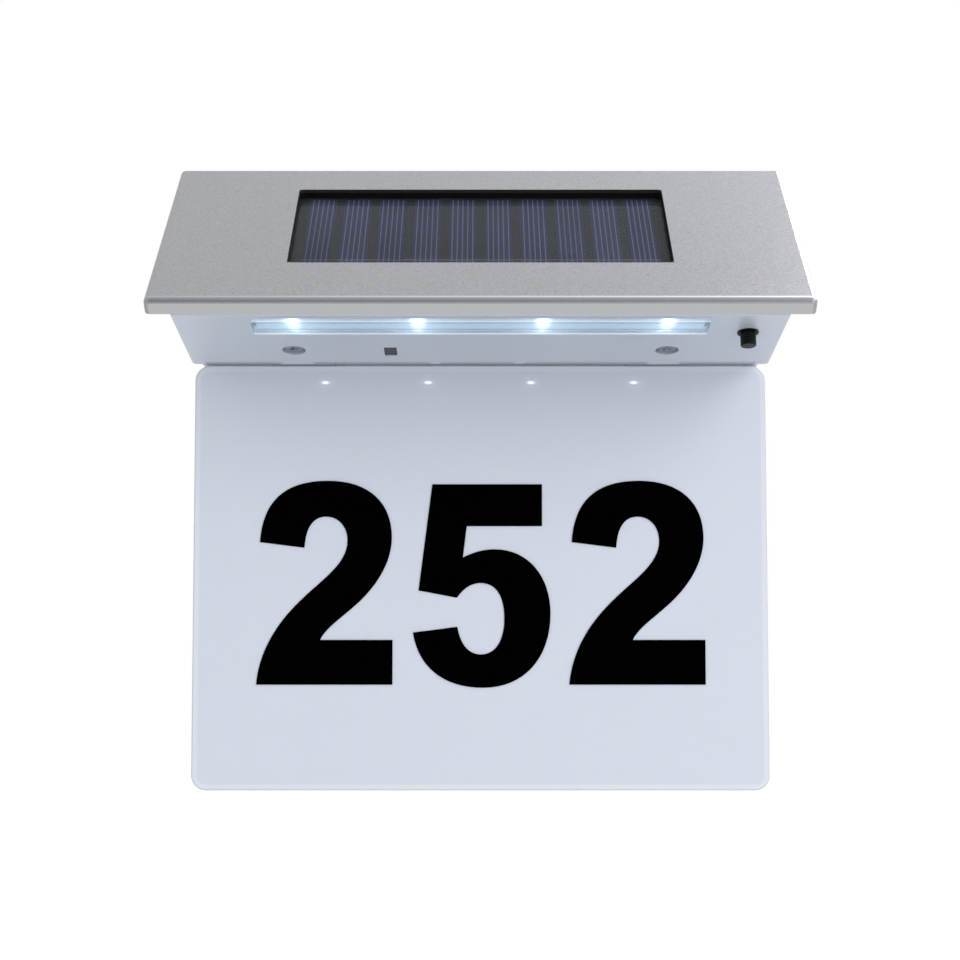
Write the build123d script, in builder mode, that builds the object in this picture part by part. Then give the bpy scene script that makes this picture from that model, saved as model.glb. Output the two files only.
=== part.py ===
"""Wall sign for a house number, lit by a strip of solar-charged lights.

A folded sheet cover carries the solar panel and slopes down over a wedge-shaped
frame. The bottom cover of the wedge holds the light strip, the dusk sensor and
the push button. An acrylic number plate hangs from two lugs behind it.

Frame: +Z up, the wall is the plane Y = 0, the sign faces -Y. The origin lies
midway between the two keyholes of the back plate. Sizes are in millimetres.
"""
from build123d import *
from math import cos, radians, sin, tan
import os

# ---------------------------------------------------------------- driving sizes
# Cover: a shallow tray, its roof sloping down towards the viewer
cover_width = 195.0
roof_length = 82.5
roof_slope = 42.85
roof_back_reach = 8.4
roof_back_z = 31.9
cover_wall = 1.2
lip_depth = 4.7
fold_radius = 1.6
cover_corner_radius = 1.8

# Window in the roof, and the solar panel under it
window_end_distance = 39.75
window_length = 46.5
window_start = 14.3
window_corner_radius = 1.8
gasket_thickness = 1.7
gasket_inset = 0.2
panel_border = 2.75
glass_thickness = 0.8
cell_count = 10
cell_side_margin = 3.5
cell_gap = 2.5
cell_end_margin = 1.05
cell_thickness = 0.25
backing_thickness = 1.5
solar_corner_radius = 3.0

# Bottom cover: the face that looks down and forward
cover_side_overhang = 7.2
bottom_slope = 10.6
bottom_far_reach = 24.4
bottom_front_drop = 1.25
bottom_wall = 2.0
bottom_corner_radius = 1.5
bottom_edge_round = 0.6
relief_depth = 2.5
relief_end_land = 4.4
tongue_width = 10.0

# Frame of the wedge
frame_wall = 2.2
shelf_wall = 2.0
rail_thickness = 3.5
rail_overlap = 1.5
flange_wall = 2.0
flange_width_side = 11.0
flange_width_end = 5.5
front_rail_thickness = 2.2

# Back plate against the wall
back_wall = 2.3
keyhole_pitch = 120.0
keyhole_entry_radius = 4.25
keyhole_slot_radius = 2.25
keyhole_rise = 8.0

# Number plate
plate_side_reach = 2.4
plate_height = 137.2
plate_thickness = 3.0
plate_overlap = 3.0
plate_corner_radius = 4.9
plate_edge_round = 0.4
lug_end_distance = 33.1
lug_width = 20.0
lug_height = 13.0
lug_pin_radius = 2.0
lug_pin_rise = 8.0
lug_step = 0.6

# Light strip
lens_end_distance = 22.8
lens_length = 11.2
lens_front_distance = 8.05
lens_wall = 1.4
lens_face = 0.8
lens_proud = 0.6
lens_flange = 1.0
lens_flange_side = 1.5
lens_flange_front = 0.8
lens_corner_radius = 1.2
led_count = 4
led_end_distance = 35.16
led_offset = 2.2
led_radius = 1.5
led_rim_radius = 1.9
led_rim_height = 0.8
led_tip = 0.5
board_thickness = 1.0
led_board_reach = 6.75
led_board_width = 8.8
led_board_height = 4.2

# Push button and its switch
button_end_distance = 10.6
button_front_distance = 13.15
button_radius = 2.35
button_reach = 4.45
button_travel = 1.6
button_edge_round = 0.35
collar_radius = 3.2
collar_thickness = 0.4
bush_radius = 2.95
bush_length = 3.0
nut_across = 8.0
nut_thickness = 1.8
switch_side = 8.4
plunger_rim_radius = 3.0
plunger_rim_height = 1.0
plunger_rest_rise = 1.0
switch_roof = 1.0
spring_wire_radius = 0.25
spring_wire_sides = 6
spring_coil_radius = 1.9
spring_turns = 5
spring_slack = 1.9

# Dusk sensor and its window
sensor_x = -27.6
sensor_forward = 11.4
sensor_window_width = 3.9
sensor_window_length = 6.9
sensor_window_recess = 0.3
sensor_window_flange = 0.8
sensor_window_margin = 1.2
sensor_radius = 2.55
sensor_thickness = 2.2
sensor_leg_radius = 0.25
sensor_leg_spacing = 3.4

# Control board
control_length = 40.0
control_end_room = 3.3
control_x = -26.0
control_lens_bias = 0.2
control_height = 6.2
control_thickness = 1.2
post_radius = 2.0
post_inset = 2.5
chip_length = 6.0
chip_width = 4.0
chip_height = 1.6
chip_leg_pitch = 1.27
chip_legs_per_side = 4
chip_leg_width = 0.45
chip_leg_reach = 1.0
chip_leg_thickness = 0.25
chip_x = -34.0
chip_offset = 3.0
coil_x = -17.0
coil_offset = -3.0
coil_rim_radius = 3.6
coil_core_radius = 2.6
coil_rim_height = 0.8
coil_height = 4.6

# Battery, its holder and contacts
battery_radius = 7.1
battery_length = 48.8
battery_edge = 0.6
battery_nub_radius = 2.7
battery_nub_length = 1.2
holder_wall = 1.6
holder_end_wall = 2.0
holder_side_height = 9.0
holder_grip_length = 19.0
holder_grip_rise = 4.8
holder_x = -1.0
holder_reach = 14.6
contact_thickness = 0.4
contact_width = 9.0
contact_spring_depth = 3.4

# Fasteners
bottom_screw_forward = 12.4
bottom_screw_recess_radius = 3.6
bottom_screw_recess_depth = 2.2
bottom_screw_head_radius = 3.3
bottom_screw_head_height = 1.8
screw_radius = 1.45
bottom_screw_length = 11.0
bottom_pad_radius = 4.9
bottom_pad_height = 1.4
boss_radius = 3.75
boss_height = 10.5
boss_rib_width = 2.4
boss_rib_height = 6.0
small_screw_radius = 1.0
small_head_radius = 1.9
small_head_height = 1.2
small_screw_length = 5.0
back_screw_end_distance = 5.3
back_screw_low_z = -21.0
back_screw_high_z = 18.0
back_boss_radius = 3.5
back_boss_length = 8.0
back_screw_length = 8.0
back_head_radius = 2.8
back_head_height = 1.6
stud_radius = 1.5
stud_length = 8.0
stud_end_distance = 6.8
stud_starts = (20.0, 50.0)
stud_nut_across = 5.5
stud_nut_thickness = 2.4
clamp_stud_side = 4.0
clamp_end_room = 1.25
clamp_thickness = 1.5
clamp_overlap = 4.5
clamp_stud_to_end = 5.5
clamp_foot = 2.0
clamp_stud_end_distance = 8.25
seal_width = 3.0
seal_thickness = 1.0
seal_inset = 0.7

# Inner leads: pairs of wires
lead_radius = 0.6
lead_spacing = 1.6
lead_rise = 4.5
lead_fillet_share = 0.45
solar_lead_x = -24.0
solar_lead_offset = -7.0
light_lead_x = -15.0
light_lead_offset = 5.5
light_lead_step = 9.0
switch_lead_x = -12.0
switch_lead_offset = -8.4
switch_lead_height = 11.5
switch_lead_run = 10.0
cell_lead_height = 6.6
cell_lead_run = 5.0
cell_lead_left_x = -38.0
cell_lead_right_x = -9.0
cell_lead_offset = 1.5

# Clearances
fit_gap = 0.2
sliding_gap = 0.06
plate_gap = 0.4
drill_gap = 0.15
panel_room = 1.0

# ------------------------------------------------------------- derived places
to_left_and_right = (-1, 1)

# The roof's outer face: x to the right, y uphill, z out of the roof
roof_plane = Plane(
    origin=(0, -roof_back_reach, roof_back_z),
    x_dir=(1, 0, 0),
    z_dir=(0, -sin(radians(roof_slope)), cos(radians(roof_slope))),
)
# The frame ends just inside the cover's front lip, and the bottom cover just below it there
frame_front_start = roof_length - cover_wall - 2 * fit_gap
front_tip_low = roof_plane.from_local_coords((0, -frame_front_start, -lip_depth + fit_gap))
front_tip_run = -front_tip_low.Y - bottom_far_reach
bottom_length = front_tip_run / cos(radians(bottom_slope)) - fit_gap
bottom_far_z = front_tip_low.Z - bottom_front_drop - tan(radians(bottom_slope)) * front_tip_run
plate_top_z = bottom_far_z + plate_overlap
lens_centre = bottom_length - lens_front_distance
led_forward = lens_centre + led_offset
button_forward = bottom_length - button_front_distance
# the control board fills the room between the rail and the light strip
lens_back = lens_centre - lens_length / 2 - lens_flange_side
control_width = lens_back - 2 * control_end_room
control_forward = lens_back / 2 + control_lens_bias
chip_forward = control_forward + chip_offset
coil_forward = control_forward + coil_offset
solar_lead_forward = control_forward + solar_lead_offset
light_lead_forward = control_forward + light_lead_offset
switch_lead_forward = control_forward + switch_lead_offset
cell_lead_forward = control_forward + cell_lead_offset
# The bottom cover's outer face, from its far edge: x to the right, y back, z into the wedge
bottom_plane = Plane(
    origin=(0, -bottom_far_reach, bottom_far_z),
    x_dir=(1, 0, 0),
    z_dir=(0, sin(radians(bottom_slope)), cos(radians(bottom_slope))),
)
roof_out = Axis((0, 0, 0), (0, -sin(radians(roof_slope)), cos(radians(roof_slope))))
bottom_in = Axis((0, 0, 0), (0, sin(radians(bottom_slope)), cos(radians(bottom_slope))))


def on_roof(x, start, below):
    """A plane parallel to the roof, at a distance down its slope and below its face."""
    return Plane(
        origin=roof_plane.from_local_coords((x, -start, -below)),
        x_dir=roof_plane.x_dir,
        z_dir=roof_plane.z_dir,
    )


def on_bottom(x, forward, above):
    """A plane parallel to the bottom cover, forward of its far edge and above its outer face."""
    return Plane(
        origin=bottom_plane.from_local_coords((x, -forward, above)),
        x_dir=bottom_plane.x_dir,
        z_dir=bottom_plane.z_dir,
    )


def wall_side(x, reach, z):
    """A plane parallel to the wall, facing it, at a distance in front of it."""
    return Plane(origin=(x, -reach, z), x_dir=(-1, 0, 0), z_dir=(0, 1, 0))


def roof_height(reach, below):
    """Height of the plane that lies this far below the roof's face, at a reach from the wall."""
    drop = tan(radians(roof_slope)) * (reach - roof_back_reach)
    return roof_back_z - drop - below / cos(radians(roof_slope))


def roof_reach(z, below):
    """Reach from the wall at which the same plane has a given height."""
    fall = roof_back_z - below / cos(radians(roof_slope)) - z
    return roof_back_reach + fall / tan(radians(roof_slope))


def bottom_height(reach, above):
    """Height of the plane that lies this far above the bottom cover's outer face."""
    rise = tan(radians(bottom_slope)) * (reach - bottom_far_reach)
    return bottom_far_z + rise + above / cos(radians(bottom_slope))


housing_width = cover_width - 2 * cover_side_overhang
window_width = cover_width - 2 * window_end_distance
housing_end = housing_width / 2
plate_width = housing_width + 2 * plate_side_reach
lug_spacing = housing_width - 2 * lug_end_distance
lens_width = housing_width - 2 * lens_end_distance
led_pitch = (housing_width - 2 * led_end_distance) / (led_count - 1)
led_board_length = lens_width + 2 * led_board_reach
button_x = housing_end - button_end_distance
back_screw_x = housing_end - back_screw_end_distance
stud_x = housing_end - stud_end_distance
solar_width = window_width + 2 * panel_border
solar_length = window_length + 2 * panel_border
window_middle = window_start + window_length / 2
cell_pitch = (window_width - 2 * cell_side_margin + cell_gap) / cell_count
cell_width = cell_pitch - cell_gap
cell_length = window_length - 2 * cell_end_margin
clamp_stud_x = solar_width / 2 + clamp_stud_side
clamp_outer = clamp_stud_x + clamp_stud_to_end
clamp_length = window_length - 2 * clamp_end_room
clamp_stud_spread = window_length - 2 * clamp_stud_end_distance
glass_top = cover_wall + gasket_thickness
cells_top = glass_top + glass_thickness
backing_top = cells_top + cell_thickness
solar_underside = backing_top + backing_thickness
flange_top = cover_wall + seal_thickness
flange_underside = flange_top + flange_wall
# the top of the wedge stays just under the inner corner of the cover's back lip
back_lip_corner = roof_plane.from_local_coords((0, -cover_wall, -lip_depth))
frame_top_z = back_lip_corner.Z - fit_gap
plate_front_reach = plate_thickness + back_wall + fit_gap
shelf_underside_z = plate_top_z + plate_gap
shelf_top_z = shelf_underside_z + shelf_wall
rail_back_reach = bottom_far_reach - (rail_thickness - rail_overlap)
rail_front_reach = bottom_far_reach + rail_overlap
back_plate_top_z = frame_top_z - shelf_wall - fit_gap
back_plate_bottom_z = shelf_top_z + fit_gap
back_plate_width = housing_width - 2 * (frame_wall + fit_gap)
lug_places = [side * lug_spacing / 2 for side in to_left_and_right]
lug_pin_z = plate_top_z + lug_pin_rise
led_places = [led_pitch * (i - (led_count - 1) / 2) for i in range(led_count)]
bush_top = bottom_wall + bush_length
plunger_rim_base = bush_top + plunger_rest_rise
spring_solid_height = spring_turns * 2 * spring_wire_radius
spring_room = spring_solid_height + spring_slack + button_travel
switch_height = plunger_rest_rise + plunger_rim_height + spring_room + switch_roof
switch_top = bush_top + switch_height
back_screw_places = [
    (side * back_screw_x, z) for side in to_left_and_right for z in (back_screw_low_z, back_screw_high_z)
]
stud_places = [(side * stud_x, start) for side in to_left_and_right for start in stud_starts]
holder_inner_length = battery_length + battery_nub_length + contact_thickness + contact_spring_depth
holder_length = holder_inner_length + 2 * holder_end_wall
holder_width = 2 * (battery_radius + fit_gap + holder_wall)
battery_axis_z = shelf_top_z + holder_wall + battery_radius
holder_screw_x = holder_inner_length / 4
contact_height = 2 * battery_radius - 2 * holder_wall
clamp_stud_places = [
    (side * clamp_stud_x, window_middle + end * clamp_stud_spread / 2)
    for side in to_left_and_right
    for end in (-1, 1)
]

pieces = {}


def finish(name, builder):
    """Label a finished piece with its node name and keep it for export."""
    builder.part.label = name
    pieces[name] = builder.part


# ------------------------------------------------------------------ sheet cover
with BuildPart() as top_cover:
    with BuildSketch(roof_plane.offset(-lip_depth)):
        with Locations((0, -roof_length / 2)):
            RectangleRounded(cover_width, roof_length, cover_corner_radius)
    extrude(amount=lip_depth)
    fillet(top_cover.faces().sort_by(roof_out)[-1].edges(), fold_radius)
    offset(amount=-cover_wall, openings=top_cover.faces().sort_by(roof_out)[0])
    with BuildSketch(roof_plane):
        with Locations((0, -window_middle)):
            RectangleRounded(window_width, window_length, window_corner_radius)
    extrude(amount=-2 * cover_wall, mode=Mode.SUBTRACT)
    # weld studs under the roof, four for the frame and four for the solar panel's clamps
    with BuildSketch(roof_plane.offset(-cover_wall)):
        with Locations([(x, -start) for x, start in stud_places + clamp_stud_places]):
            Circle(stud_radius)
    extrude(amount=-stud_length)
finish("top_cover", top_cover)

# ------------------------------------------------------------------ solar panel
with BuildPart() as window_gasket:
    with BuildSketch(roof_plane.offset(-glass_top)):
        with Locations((0, -window_middle)):
            RectangleRounded(solar_width, solar_length, solar_corner_radius)
            RectangleRounded(
                window_width - 2 * gasket_inset,
                window_length - 2 * gasket_inset,
                window_corner_radius,
                mode=Mode.SUBTRACT,
            )
    extrude(amount=gasket_thickness)
finish("window_gasket", window_gasket)

with BuildPart() as solar_glass:
    with BuildSketch(roof_plane.offset(-cells_top)):
        with Locations((0, -window_middle)):
            RectangleRounded(solar_width, solar_length, solar_corner_radius)
    extrude(amount=glass_thickness)
finish("solar_glass", solar_glass)

with BuildPart() as solar_cells:
    with BuildSketch(roof_plane.offset(-backing_top)):
        with Locations((0, -window_middle)):
            with GridLocations(cell_pitch, 0, cell_count, 1):
                Rectangle(cell_width, cell_length)
    extrude(amount=cell_thickness)
finish("solar_cells", solar_cells)

with BuildPart() as solar_backing:
    with BuildSketch(roof_plane.offset(-solar_underside)):
        with Locations((0, -window_middle)):
            RectangleRounded(solar_width, solar_length, solar_corner_radius)
    extrude(amount=backing_thickness)
finish("solar_backing", solar_backing)

with BuildPart() as panel_clamps:
    # each clamp is a flat bar that presses on the backing, with a foot against the roof
    for side in to_left_and_right:
        bar_inner = solar_width / 2 - clamp_overlap
        with BuildSketch(on_roof(side * (bar_inner + clamp_outer) / 2, window_middle, solar_underside)):
            Rectangle(clamp_outer - bar_inner, clamp_length)
        extrude(amount=-clamp_thickness)
        with BuildSketch(on_roof(side * (clamp_outer - clamp_foot / 2), window_middle, solar_underside)):
            Rectangle(clamp_foot, clamp_length)
        extrude(amount=solar_underside - cover_wall)
    with BuildSketch(roof_plane.offset(-solar_underside)):
        with Locations([(x, -start) for x, start in clamp_stud_places]):
            Circle(stud_radius + drill_gap)
    extrude(amount=-clamp_thickness, mode=Mode.SUBTRACT)
finish("panel_clamps", panel_clamps)


def nut_group(places, below):
    """Hexagon nuts on studs under the roof, their upper face this far below its outer face."""
    with BuildPart() as nuts:
        with BuildSketch(roof_plane.offset(-below)):
            with Locations([(x, -start) for x, start in places]):
                RegularPolygon(stud_nut_across / 2, 6, major_radius=False)
                Circle(stud_radius, mode=Mode.SUBTRACT)
        extrude(amount=-stud_nut_thickness)
    return nuts


finish("clamp_nuts", nut_group(clamp_stud_places, solar_underside + clamp_thickness))
finish("cover_nuts", nut_group(stud_places, flange_underside))

# ------------------------------------------------------------- frame of the wedge
flange_front = roof_plane.from_local_coords((0, -frame_front_start, -flange_top))
front_rail_reach = -flange_front.Y - front_rail_thickness

with BuildPart() as housing_frame:
    # side view of the wedge: shelf over the number plate, rail, bottom, roof line, top
    with BuildSketch(Plane.YZ):
        with BuildLine():
            Polyline(
                (0, shelf_underside_z),
                (-rail_back_reach, shelf_underside_z),
                (-rail_back_reach, bottom_height(rail_back_reach, bottom_wall)),
                (front_tip_low.Y, bottom_height(-front_tip_low.Y, bottom_wall)),
                (flange_front.Y, flange_front.Z),
                (-roof_reach(frame_top_z, flange_top), frame_top_z),
                (0, frame_top_z),
                close=True,
            )
        make_face()
    extrude(amount=housing_width / 2, both=True)
    # the room inside, open to the wall and to the bottom cover
    with BuildSketch(Plane.YZ):
        with BuildLine():
            Polyline(
                (frame_wall, shelf_top_z),
                (-rail_front_reach, shelf_top_z),
                (-rail_front_reach, bottom_far_z),
                (-front_rail_reach, bottom_far_z),
                (-front_rail_reach, roof_height(front_rail_reach, flange_underside)),
                (-roof_reach(frame_top_z - shelf_wall, flange_underside), frame_top_z - shelf_wall),
                (frame_wall, frame_top_z - shelf_wall),
                close=True,
            )
        make_face()
    extrude(amount=housing_width / 2 - frame_wall, both=True, mode=Mode.SUBTRACT)
    # the opening under the solar panel leaves a flange all round
    opening_start = window_start - panel_border - panel_room
    opening_end = frame_front_start - flange_width_end
    with BuildSketch(roof_plane.offset(-flange_underside - flange_wall)):
        with Locations((0, -(opening_start + opening_end) / 2)):
            RectangleRounded(
                housing_width - 2 * flange_width_side,
                opening_end - opening_start,
                cover_corner_radius,
            )
    extrude(amount=flange_underside + flange_wall, mode=Mode.SUBTRACT)
    # stud holes through the side flanges
    with BuildSketch(roof_plane.offset(-flange_underside - flange_wall)):
        with Locations([(x, -start) for x, start in stud_places]):
            Circle(stud_radius + drill_gap)
    extrude(amount=flange_underside + flange_wall, mode=Mode.SUBTRACT)
    # webs behind the lugs, each with a moulded pin that passes through its lug
    for x in lug_places:
        with BuildSketch(wall_side(x, plate_front_reach + fit_gap, 0)):
            with Locations((0, shelf_top_z + lug_height / 2)):
                Rectangle(lug_width + 2 * frame_wall, lug_height)
        extrude(amount=-frame_wall)
        with BuildSketch(wall_side(x, plate_front_reach + fit_gap, lug_pin_z)):
            Circle(lug_pin_radius)
        extrude(amount=plate_thickness)
        # notch for the lug, open towards the wall
        with BuildSketch(Plane(origin=(x, 0, shelf_underside_z - fit_gap))):
            with Locations((0, -(plate_front_reach + fit_gap) / 2)):
                Rectangle(lug_width + 2 * fit_gap, plate_front_reach + fit_gap)
        extrude(amount=shelf_wall + 2 * fit_gap, mode=Mode.SUBTRACT)
    # bosses for the two screws of the bottom cover, each on a rib from the rail
    for x in lug_places:
        boss_base = bottom_wall + bottom_pad_height
        with BuildSketch(on_bottom(x, bottom_screw_forward, boss_base)):
            Circle(boss_radius)
        extrude(amount=boss_height)
        with BuildSketch(on_bottom(x, bottom_screw_forward / 2, boss_base)):
            Rectangle(boss_rib_width, bottom_screw_forward)
        extrude(amount=boss_rib_height)
        with BuildSketch(on_bottom(x, bottom_screw_forward, boss_base)):
            Circle(screw_radius)
        extrude(amount=bottom_screw_length, mode=Mode.SUBTRACT)
    # bosses for the four screws of the back plate, against the side walls
    for x, z in back_screw_places:
        with BuildSketch(wall_side(x, back_wall, z)):
            Circle(back_boss_radius)
        extrude(amount=-back_boss_length)
        with BuildSketch(wall_side(x, back_wall, z)):
            Circle(screw_radius)
        extrude(amount=-back_boss_length, mode=Mode.SUBTRACT)
    # holes for the screws of the battery holder
    with BuildSketch(Plane.XY.offset(shelf_underside_z)):
        with Locations([(holder_x + side * holder_screw_x, -holder_reach) for side in to_left_and_right]):
            Circle(small_screw_radius + drill_gap)
    extrude(amount=shelf_wall, mode=Mode.SUBTRACT)
finish("housing_frame", housing_frame)

with BuildPart() as cover_seal:
    seal_length = frame_front_start - (roof_length - frame_front_start) - flange_width_end
    with BuildSketch(roof_plane.offset(-flange_top)):
        with Locations((0, -(frame_front_start - seal_inset - seal_length / 2))):
            RectangleRounded(
                housing_width - 2 * seal_inset, seal_length, cover_corner_radius + seal_width
            )
            RectangleRounded(
                housing_width - 2 * seal_inset - 2 * seal_width,
                seal_length - 2 * seal_width,
                cover_corner_radius,
                mode=Mode.SUBTRACT,
            )
    extrude(amount=seal_thickness)
finish("cover_seal", cover_seal)

# ------------------------------------------------------------------- back plate
with BuildPart() as back_plate:
    with BuildSketch(wall_side(0, back_wall, 0)):
        with Locations((0, (back_plate_top_z + back_plate_bottom_z) / 2)):
            RectangleRounded(
                back_plate_width, back_plate_top_z - back_plate_bottom_z, cover_corner_radius
            )
        # feet that close the notches behind the lugs
        with Locations([(x, (shelf_underside_z + shelf_top_z) / 2 + fit_gap) for x in lug_places]):
            Rectangle(lug_width, shelf_wall + 2 * fit_gap)
    extrude(amount=back_wall)
    for x in (-keyhole_pitch / 2, keyhole_pitch / 2):
        with BuildSketch(wall_side(x, back_wall, 0)):
            Circle(keyhole_entry_radius)
            with Locations((0, keyhole_rise / 2)):
                Rectangle(2 * keyhole_slot_radius, keyhole_rise)
            with Locations((0, keyhole_rise)):
                Circle(keyhole_slot_radius)
        extrude(amount=back_wall, mode=Mode.SUBTRACT)
    for x, z in back_screw_places:
        with BuildSketch(wall_side(x, back_wall, z)):
            Circle(screw_radius + drill_gap)
        extrude(amount=back_wall, mode=Mode.SUBTRACT)
        with BuildSketch(wall_side(x, back_head_height, z)):
            Circle(back_head_radius + drill_gap)
        extrude(amount=back_head_height, mode=Mode.SUBTRACT)
finish("back_plate", back_plate)

with BuildPart() as back_screws:
    for x, z in back_screw_places:
        with BuildSketch(wall_side(x, back_head_height, z)):
            Circle(back_head_radius)
        extrude(amount=back_head_height - drill_gap)
        with BuildSketch(wall_side(x, back_head_height, z)):
            Circle(screw_radius)
        extrude(amount=-back_screw_length)
finish("back_screws", back_screws)

# ------------------------------------------------------------------ bottom cover
control_post_places = [
    (control_x - control_length / 2 + post_inset, control_forward - control_width / 2 + post_inset),
    (control_x + control_length / 2 - post_inset, control_forward + control_width / 2 - post_inset),
]
led_post_places = [side * (led_board_length / 2 - post_inset) for side in to_left_and_right]

with BuildPart() as bottom_cover:
    with BuildSketch(bottom_plane):
        with Locations((0, -bottom_length / 2)):
            RectangleRounded(housing_width, bottom_length, bottom_corner_radius)
    extrude(amount=bottom_wall)
    fillet(bottom_cover.faces().sort_by(bottom_in)[0].edges(), bottom_edge_round)
    # reliefs in the far edge leave the two ends and two tongues that lock under the rail
    relief_outer = housing_width / 2 - relief_end_land
    tongue_inner = lug_spacing / 2 - tongue_width / 2
    tongue_outer = lug_spacing / 2 + tongue_width / 2
    for start, stop in (
        (-relief_outer, -tongue_outer),
        (-tongue_inner, tongue_inner),
        (tongue_outer, relief_outer),
    ):
        with BuildSketch(on_bottom((start + stop) / 2, relief_depth / 2, 0)):
            Rectangle(stop - start, relief_depth)
        extrude(amount=bottom_wall, mode=Mode.SUBTRACT)
    # slot of the light strip
    with BuildSketch(on_bottom(0, lens_centre, 0)):
        RectangleRounded(lens_width, lens_length, lens_corner_radius)
    extrude(amount=bottom_wall, mode=Mode.SUBTRACT)
    # hole of the sensor window and of the push button
    with BuildSketch(on_bottom(sensor_x, sensor_forward, 0)):
        Rectangle(sensor_window_width, sensor_window_length)
    extrude(amount=bottom_wall, mode=Mode.SUBTRACT)
    with BuildSketch(on_bottom(button_x, button_forward, 0)):
        Circle(bush_radius)
    extrude(amount=bottom_wall, mode=Mode.SUBTRACT)
    # pads under the bosses, with the recess and the hole of each screw
    for x in lug_places:
        with BuildSketch(on_bottom(x, bottom_screw_forward, bottom_wall)):
            Circle(bottom_pad_radius)
        extrude(amount=bottom_pad_height)
        with BuildSketch(on_bottom(x, bottom_screw_forward, 0)):
            Circle(bottom_screw_recess_radius)
        extrude(amount=bottom_screw_recess_depth, mode=Mode.SUBTRACT)
        with BuildSketch(on_bottom(x, bottom_screw_forward, 0)):
            Circle(screw_radius + drill_gap)
        extrude(amount=bottom_wall + bottom_pad_height, mode=Mode.SUBTRACT)
    # posts of the light board and of the control board, and a stiffening rib
    for x in led_post_places:
        with BuildSketch(on_bottom(x, lens_centre, bottom_wall)):
            Circle(post_radius)
            Circle(small_screw_radius, mode=Mode.SUBTRACT)
        extrude(amount=led_board_height - bottom_wall)
    for x, forward in control_post_places:
        with BuildSketch(on_bottom(x, forward, bottom_wall)):
            Circle(post_radius)
            Circle(small_screw_radius, mode=Mode.SUBTRACT)
        extrude(amount=control_height - bottom_wall)
    rib_forward = lens_back - lens_wall
    with BuildSketch(on_bottom(0, rib_forward, bottom_wall)):
        Rectangle(lens_width, lens_flange)
    extrude(amount=bottom_wall)
finish("bottom_cover", bottom_cover)

with BuildPart() as bottom_screws:
    for x in lug_places:
        head_seat = bottom_screw_recess_depth
        with BuildSketch(on_bottom(x, bottom_screw_forward, head_seat)):
            Circle(bottom_screw_head_radius)
        extrude(amount=-bottom_screw_head_height)
        with BuildSketch(on_bottom(x, bottom_screw_forward, head_seat)):
            Circle(screw_radius)
        extrude(amount=bottom_screw_length)
finish("bottom_screws", bottom_screws)

# ------------------------------------------------------------------ number plate
with BuildPart() as number_plate:
    with BuildSketch(wall_side(0, plate_front_reach, plate_top_z - plate_height / 2)):
        RectangleRounded(plate_width, plate_height, plate_corner_radius)
    extrude(amount=plate_thickness)
    fillet(number_plate.faces().sort_by(Axis.Y)[0].edges(), plate_edge_round)
    for x in lug_places:
        with BuildSketch(wall_side(x, plate_front_reach - lug_step, 0)):
            with Locations((0, plate_top_z - plate_edge_round + lug_height / 2)):
                Rectangle(lug_width, lug_height)
            with Locations((0, lug_pin_z)):
                Circle(lug_pin_radius + drill_gap, mode=Mode.SUBTRACT)
        extrude(amount=plate_thickness - lug_step)
finish("number_plate", number_plate)

# ------------------------------------------------------------------- light strip
with BuildPart() as light_lens:
    with BuildSketch(on_bottom(0, lens_centre, -lens_proud)):
        RectangleRounded(
            lens_width - 2 * sliding_gap, lens_length - 2 * sliding_gap, lens_corner_radius
        )
    extrude(amount=lens_proud + bottom_wall + lens_flange)
    flange_length = lens_length + lens_flange_side + lens_flange_front
    with BuildSketch(
        on_bottom(0, lens_centre + (lens_flange_front - lens_flange_side) / 2, bottom_wall)
    ):
        RectangleRounded(lens_width + 2 * lens_flange_side, flange_length, lens_corner_radius)
    extrude(amount=lens_flange)
    with BuildSketch(on_bottom(0, lens_centre, lens_face - lens_proud)):
        Rectangle(lens_width - 2 * lens_wall, lens_length - 2 * lens_wall)
    extrude(amount=bottom_wall + lens_flange, mode=Mode.SUBTRACT)
finish("light_lens", light_lens)

with BuildPart() as led_board:
    with BuildSketch(on_bottom(0, lens_centre, led_board_height)):
        Rectangle(led_board_length, led_board_width)
        with Locations([(x, 0) for x in led_post_places]):
            Circle(small_screw_radius + drill_gap, mode=Mode.SUBTRACT)
    extrude(amount=board_thickness)
finish("led_board", led_board)

with BuildPart() as leds:
    # each light is a turned body: a rim on the board, a straight side and a dome
    for x in led_places:
        seat = on_bottom(x, led_forward, led_board_height)
        dome_centre = led_board_height - led_tip - led_radius
        with BuildSketch(Plane(origin=seat.origin, x_dir=seat.x_dir, z_dir=seat.y_dir)):
            with BuildLine():
                Polyline(
                    (0, dome_centre + led_radius),
                    (0, 0),
                    (led_rim_radius, 0),
                    (led_rim_radius, led_rim_height),
                    (led_radius, led_rim_height),
                    (led_radius, dome_centre),
                )
                CenterArc((0, dome_centre), led_radius, 0, 90)
            make_face()
        revolve(axis=Axis(seat.origin, seat.z_dir))
finish("leds", leds)


def board_screws(places, forwards, seat):
    """Small screws that hold a board on its posts, heads on the board's upper face."""
    with BuildPart() as screws:
        for x, forward in zip(places, forwards):
            with BuildSketch(on_bottom(x, forward, seat)):
                Circle(small_head_radius)
            extrude(amount=small_head_height)
            with BuildSketch(on_bottom(x, forward, seat)):
                Circle(small_screw_radius)
            extrude(amount=-min(small_screw_length, seat - bottom_wall))
    return screws


led_screws = board_screws(led_post_places, [lens_centre, lens_centre], led_board_height + board_thickness)
finish("led_board_screws", led_screws)

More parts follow.
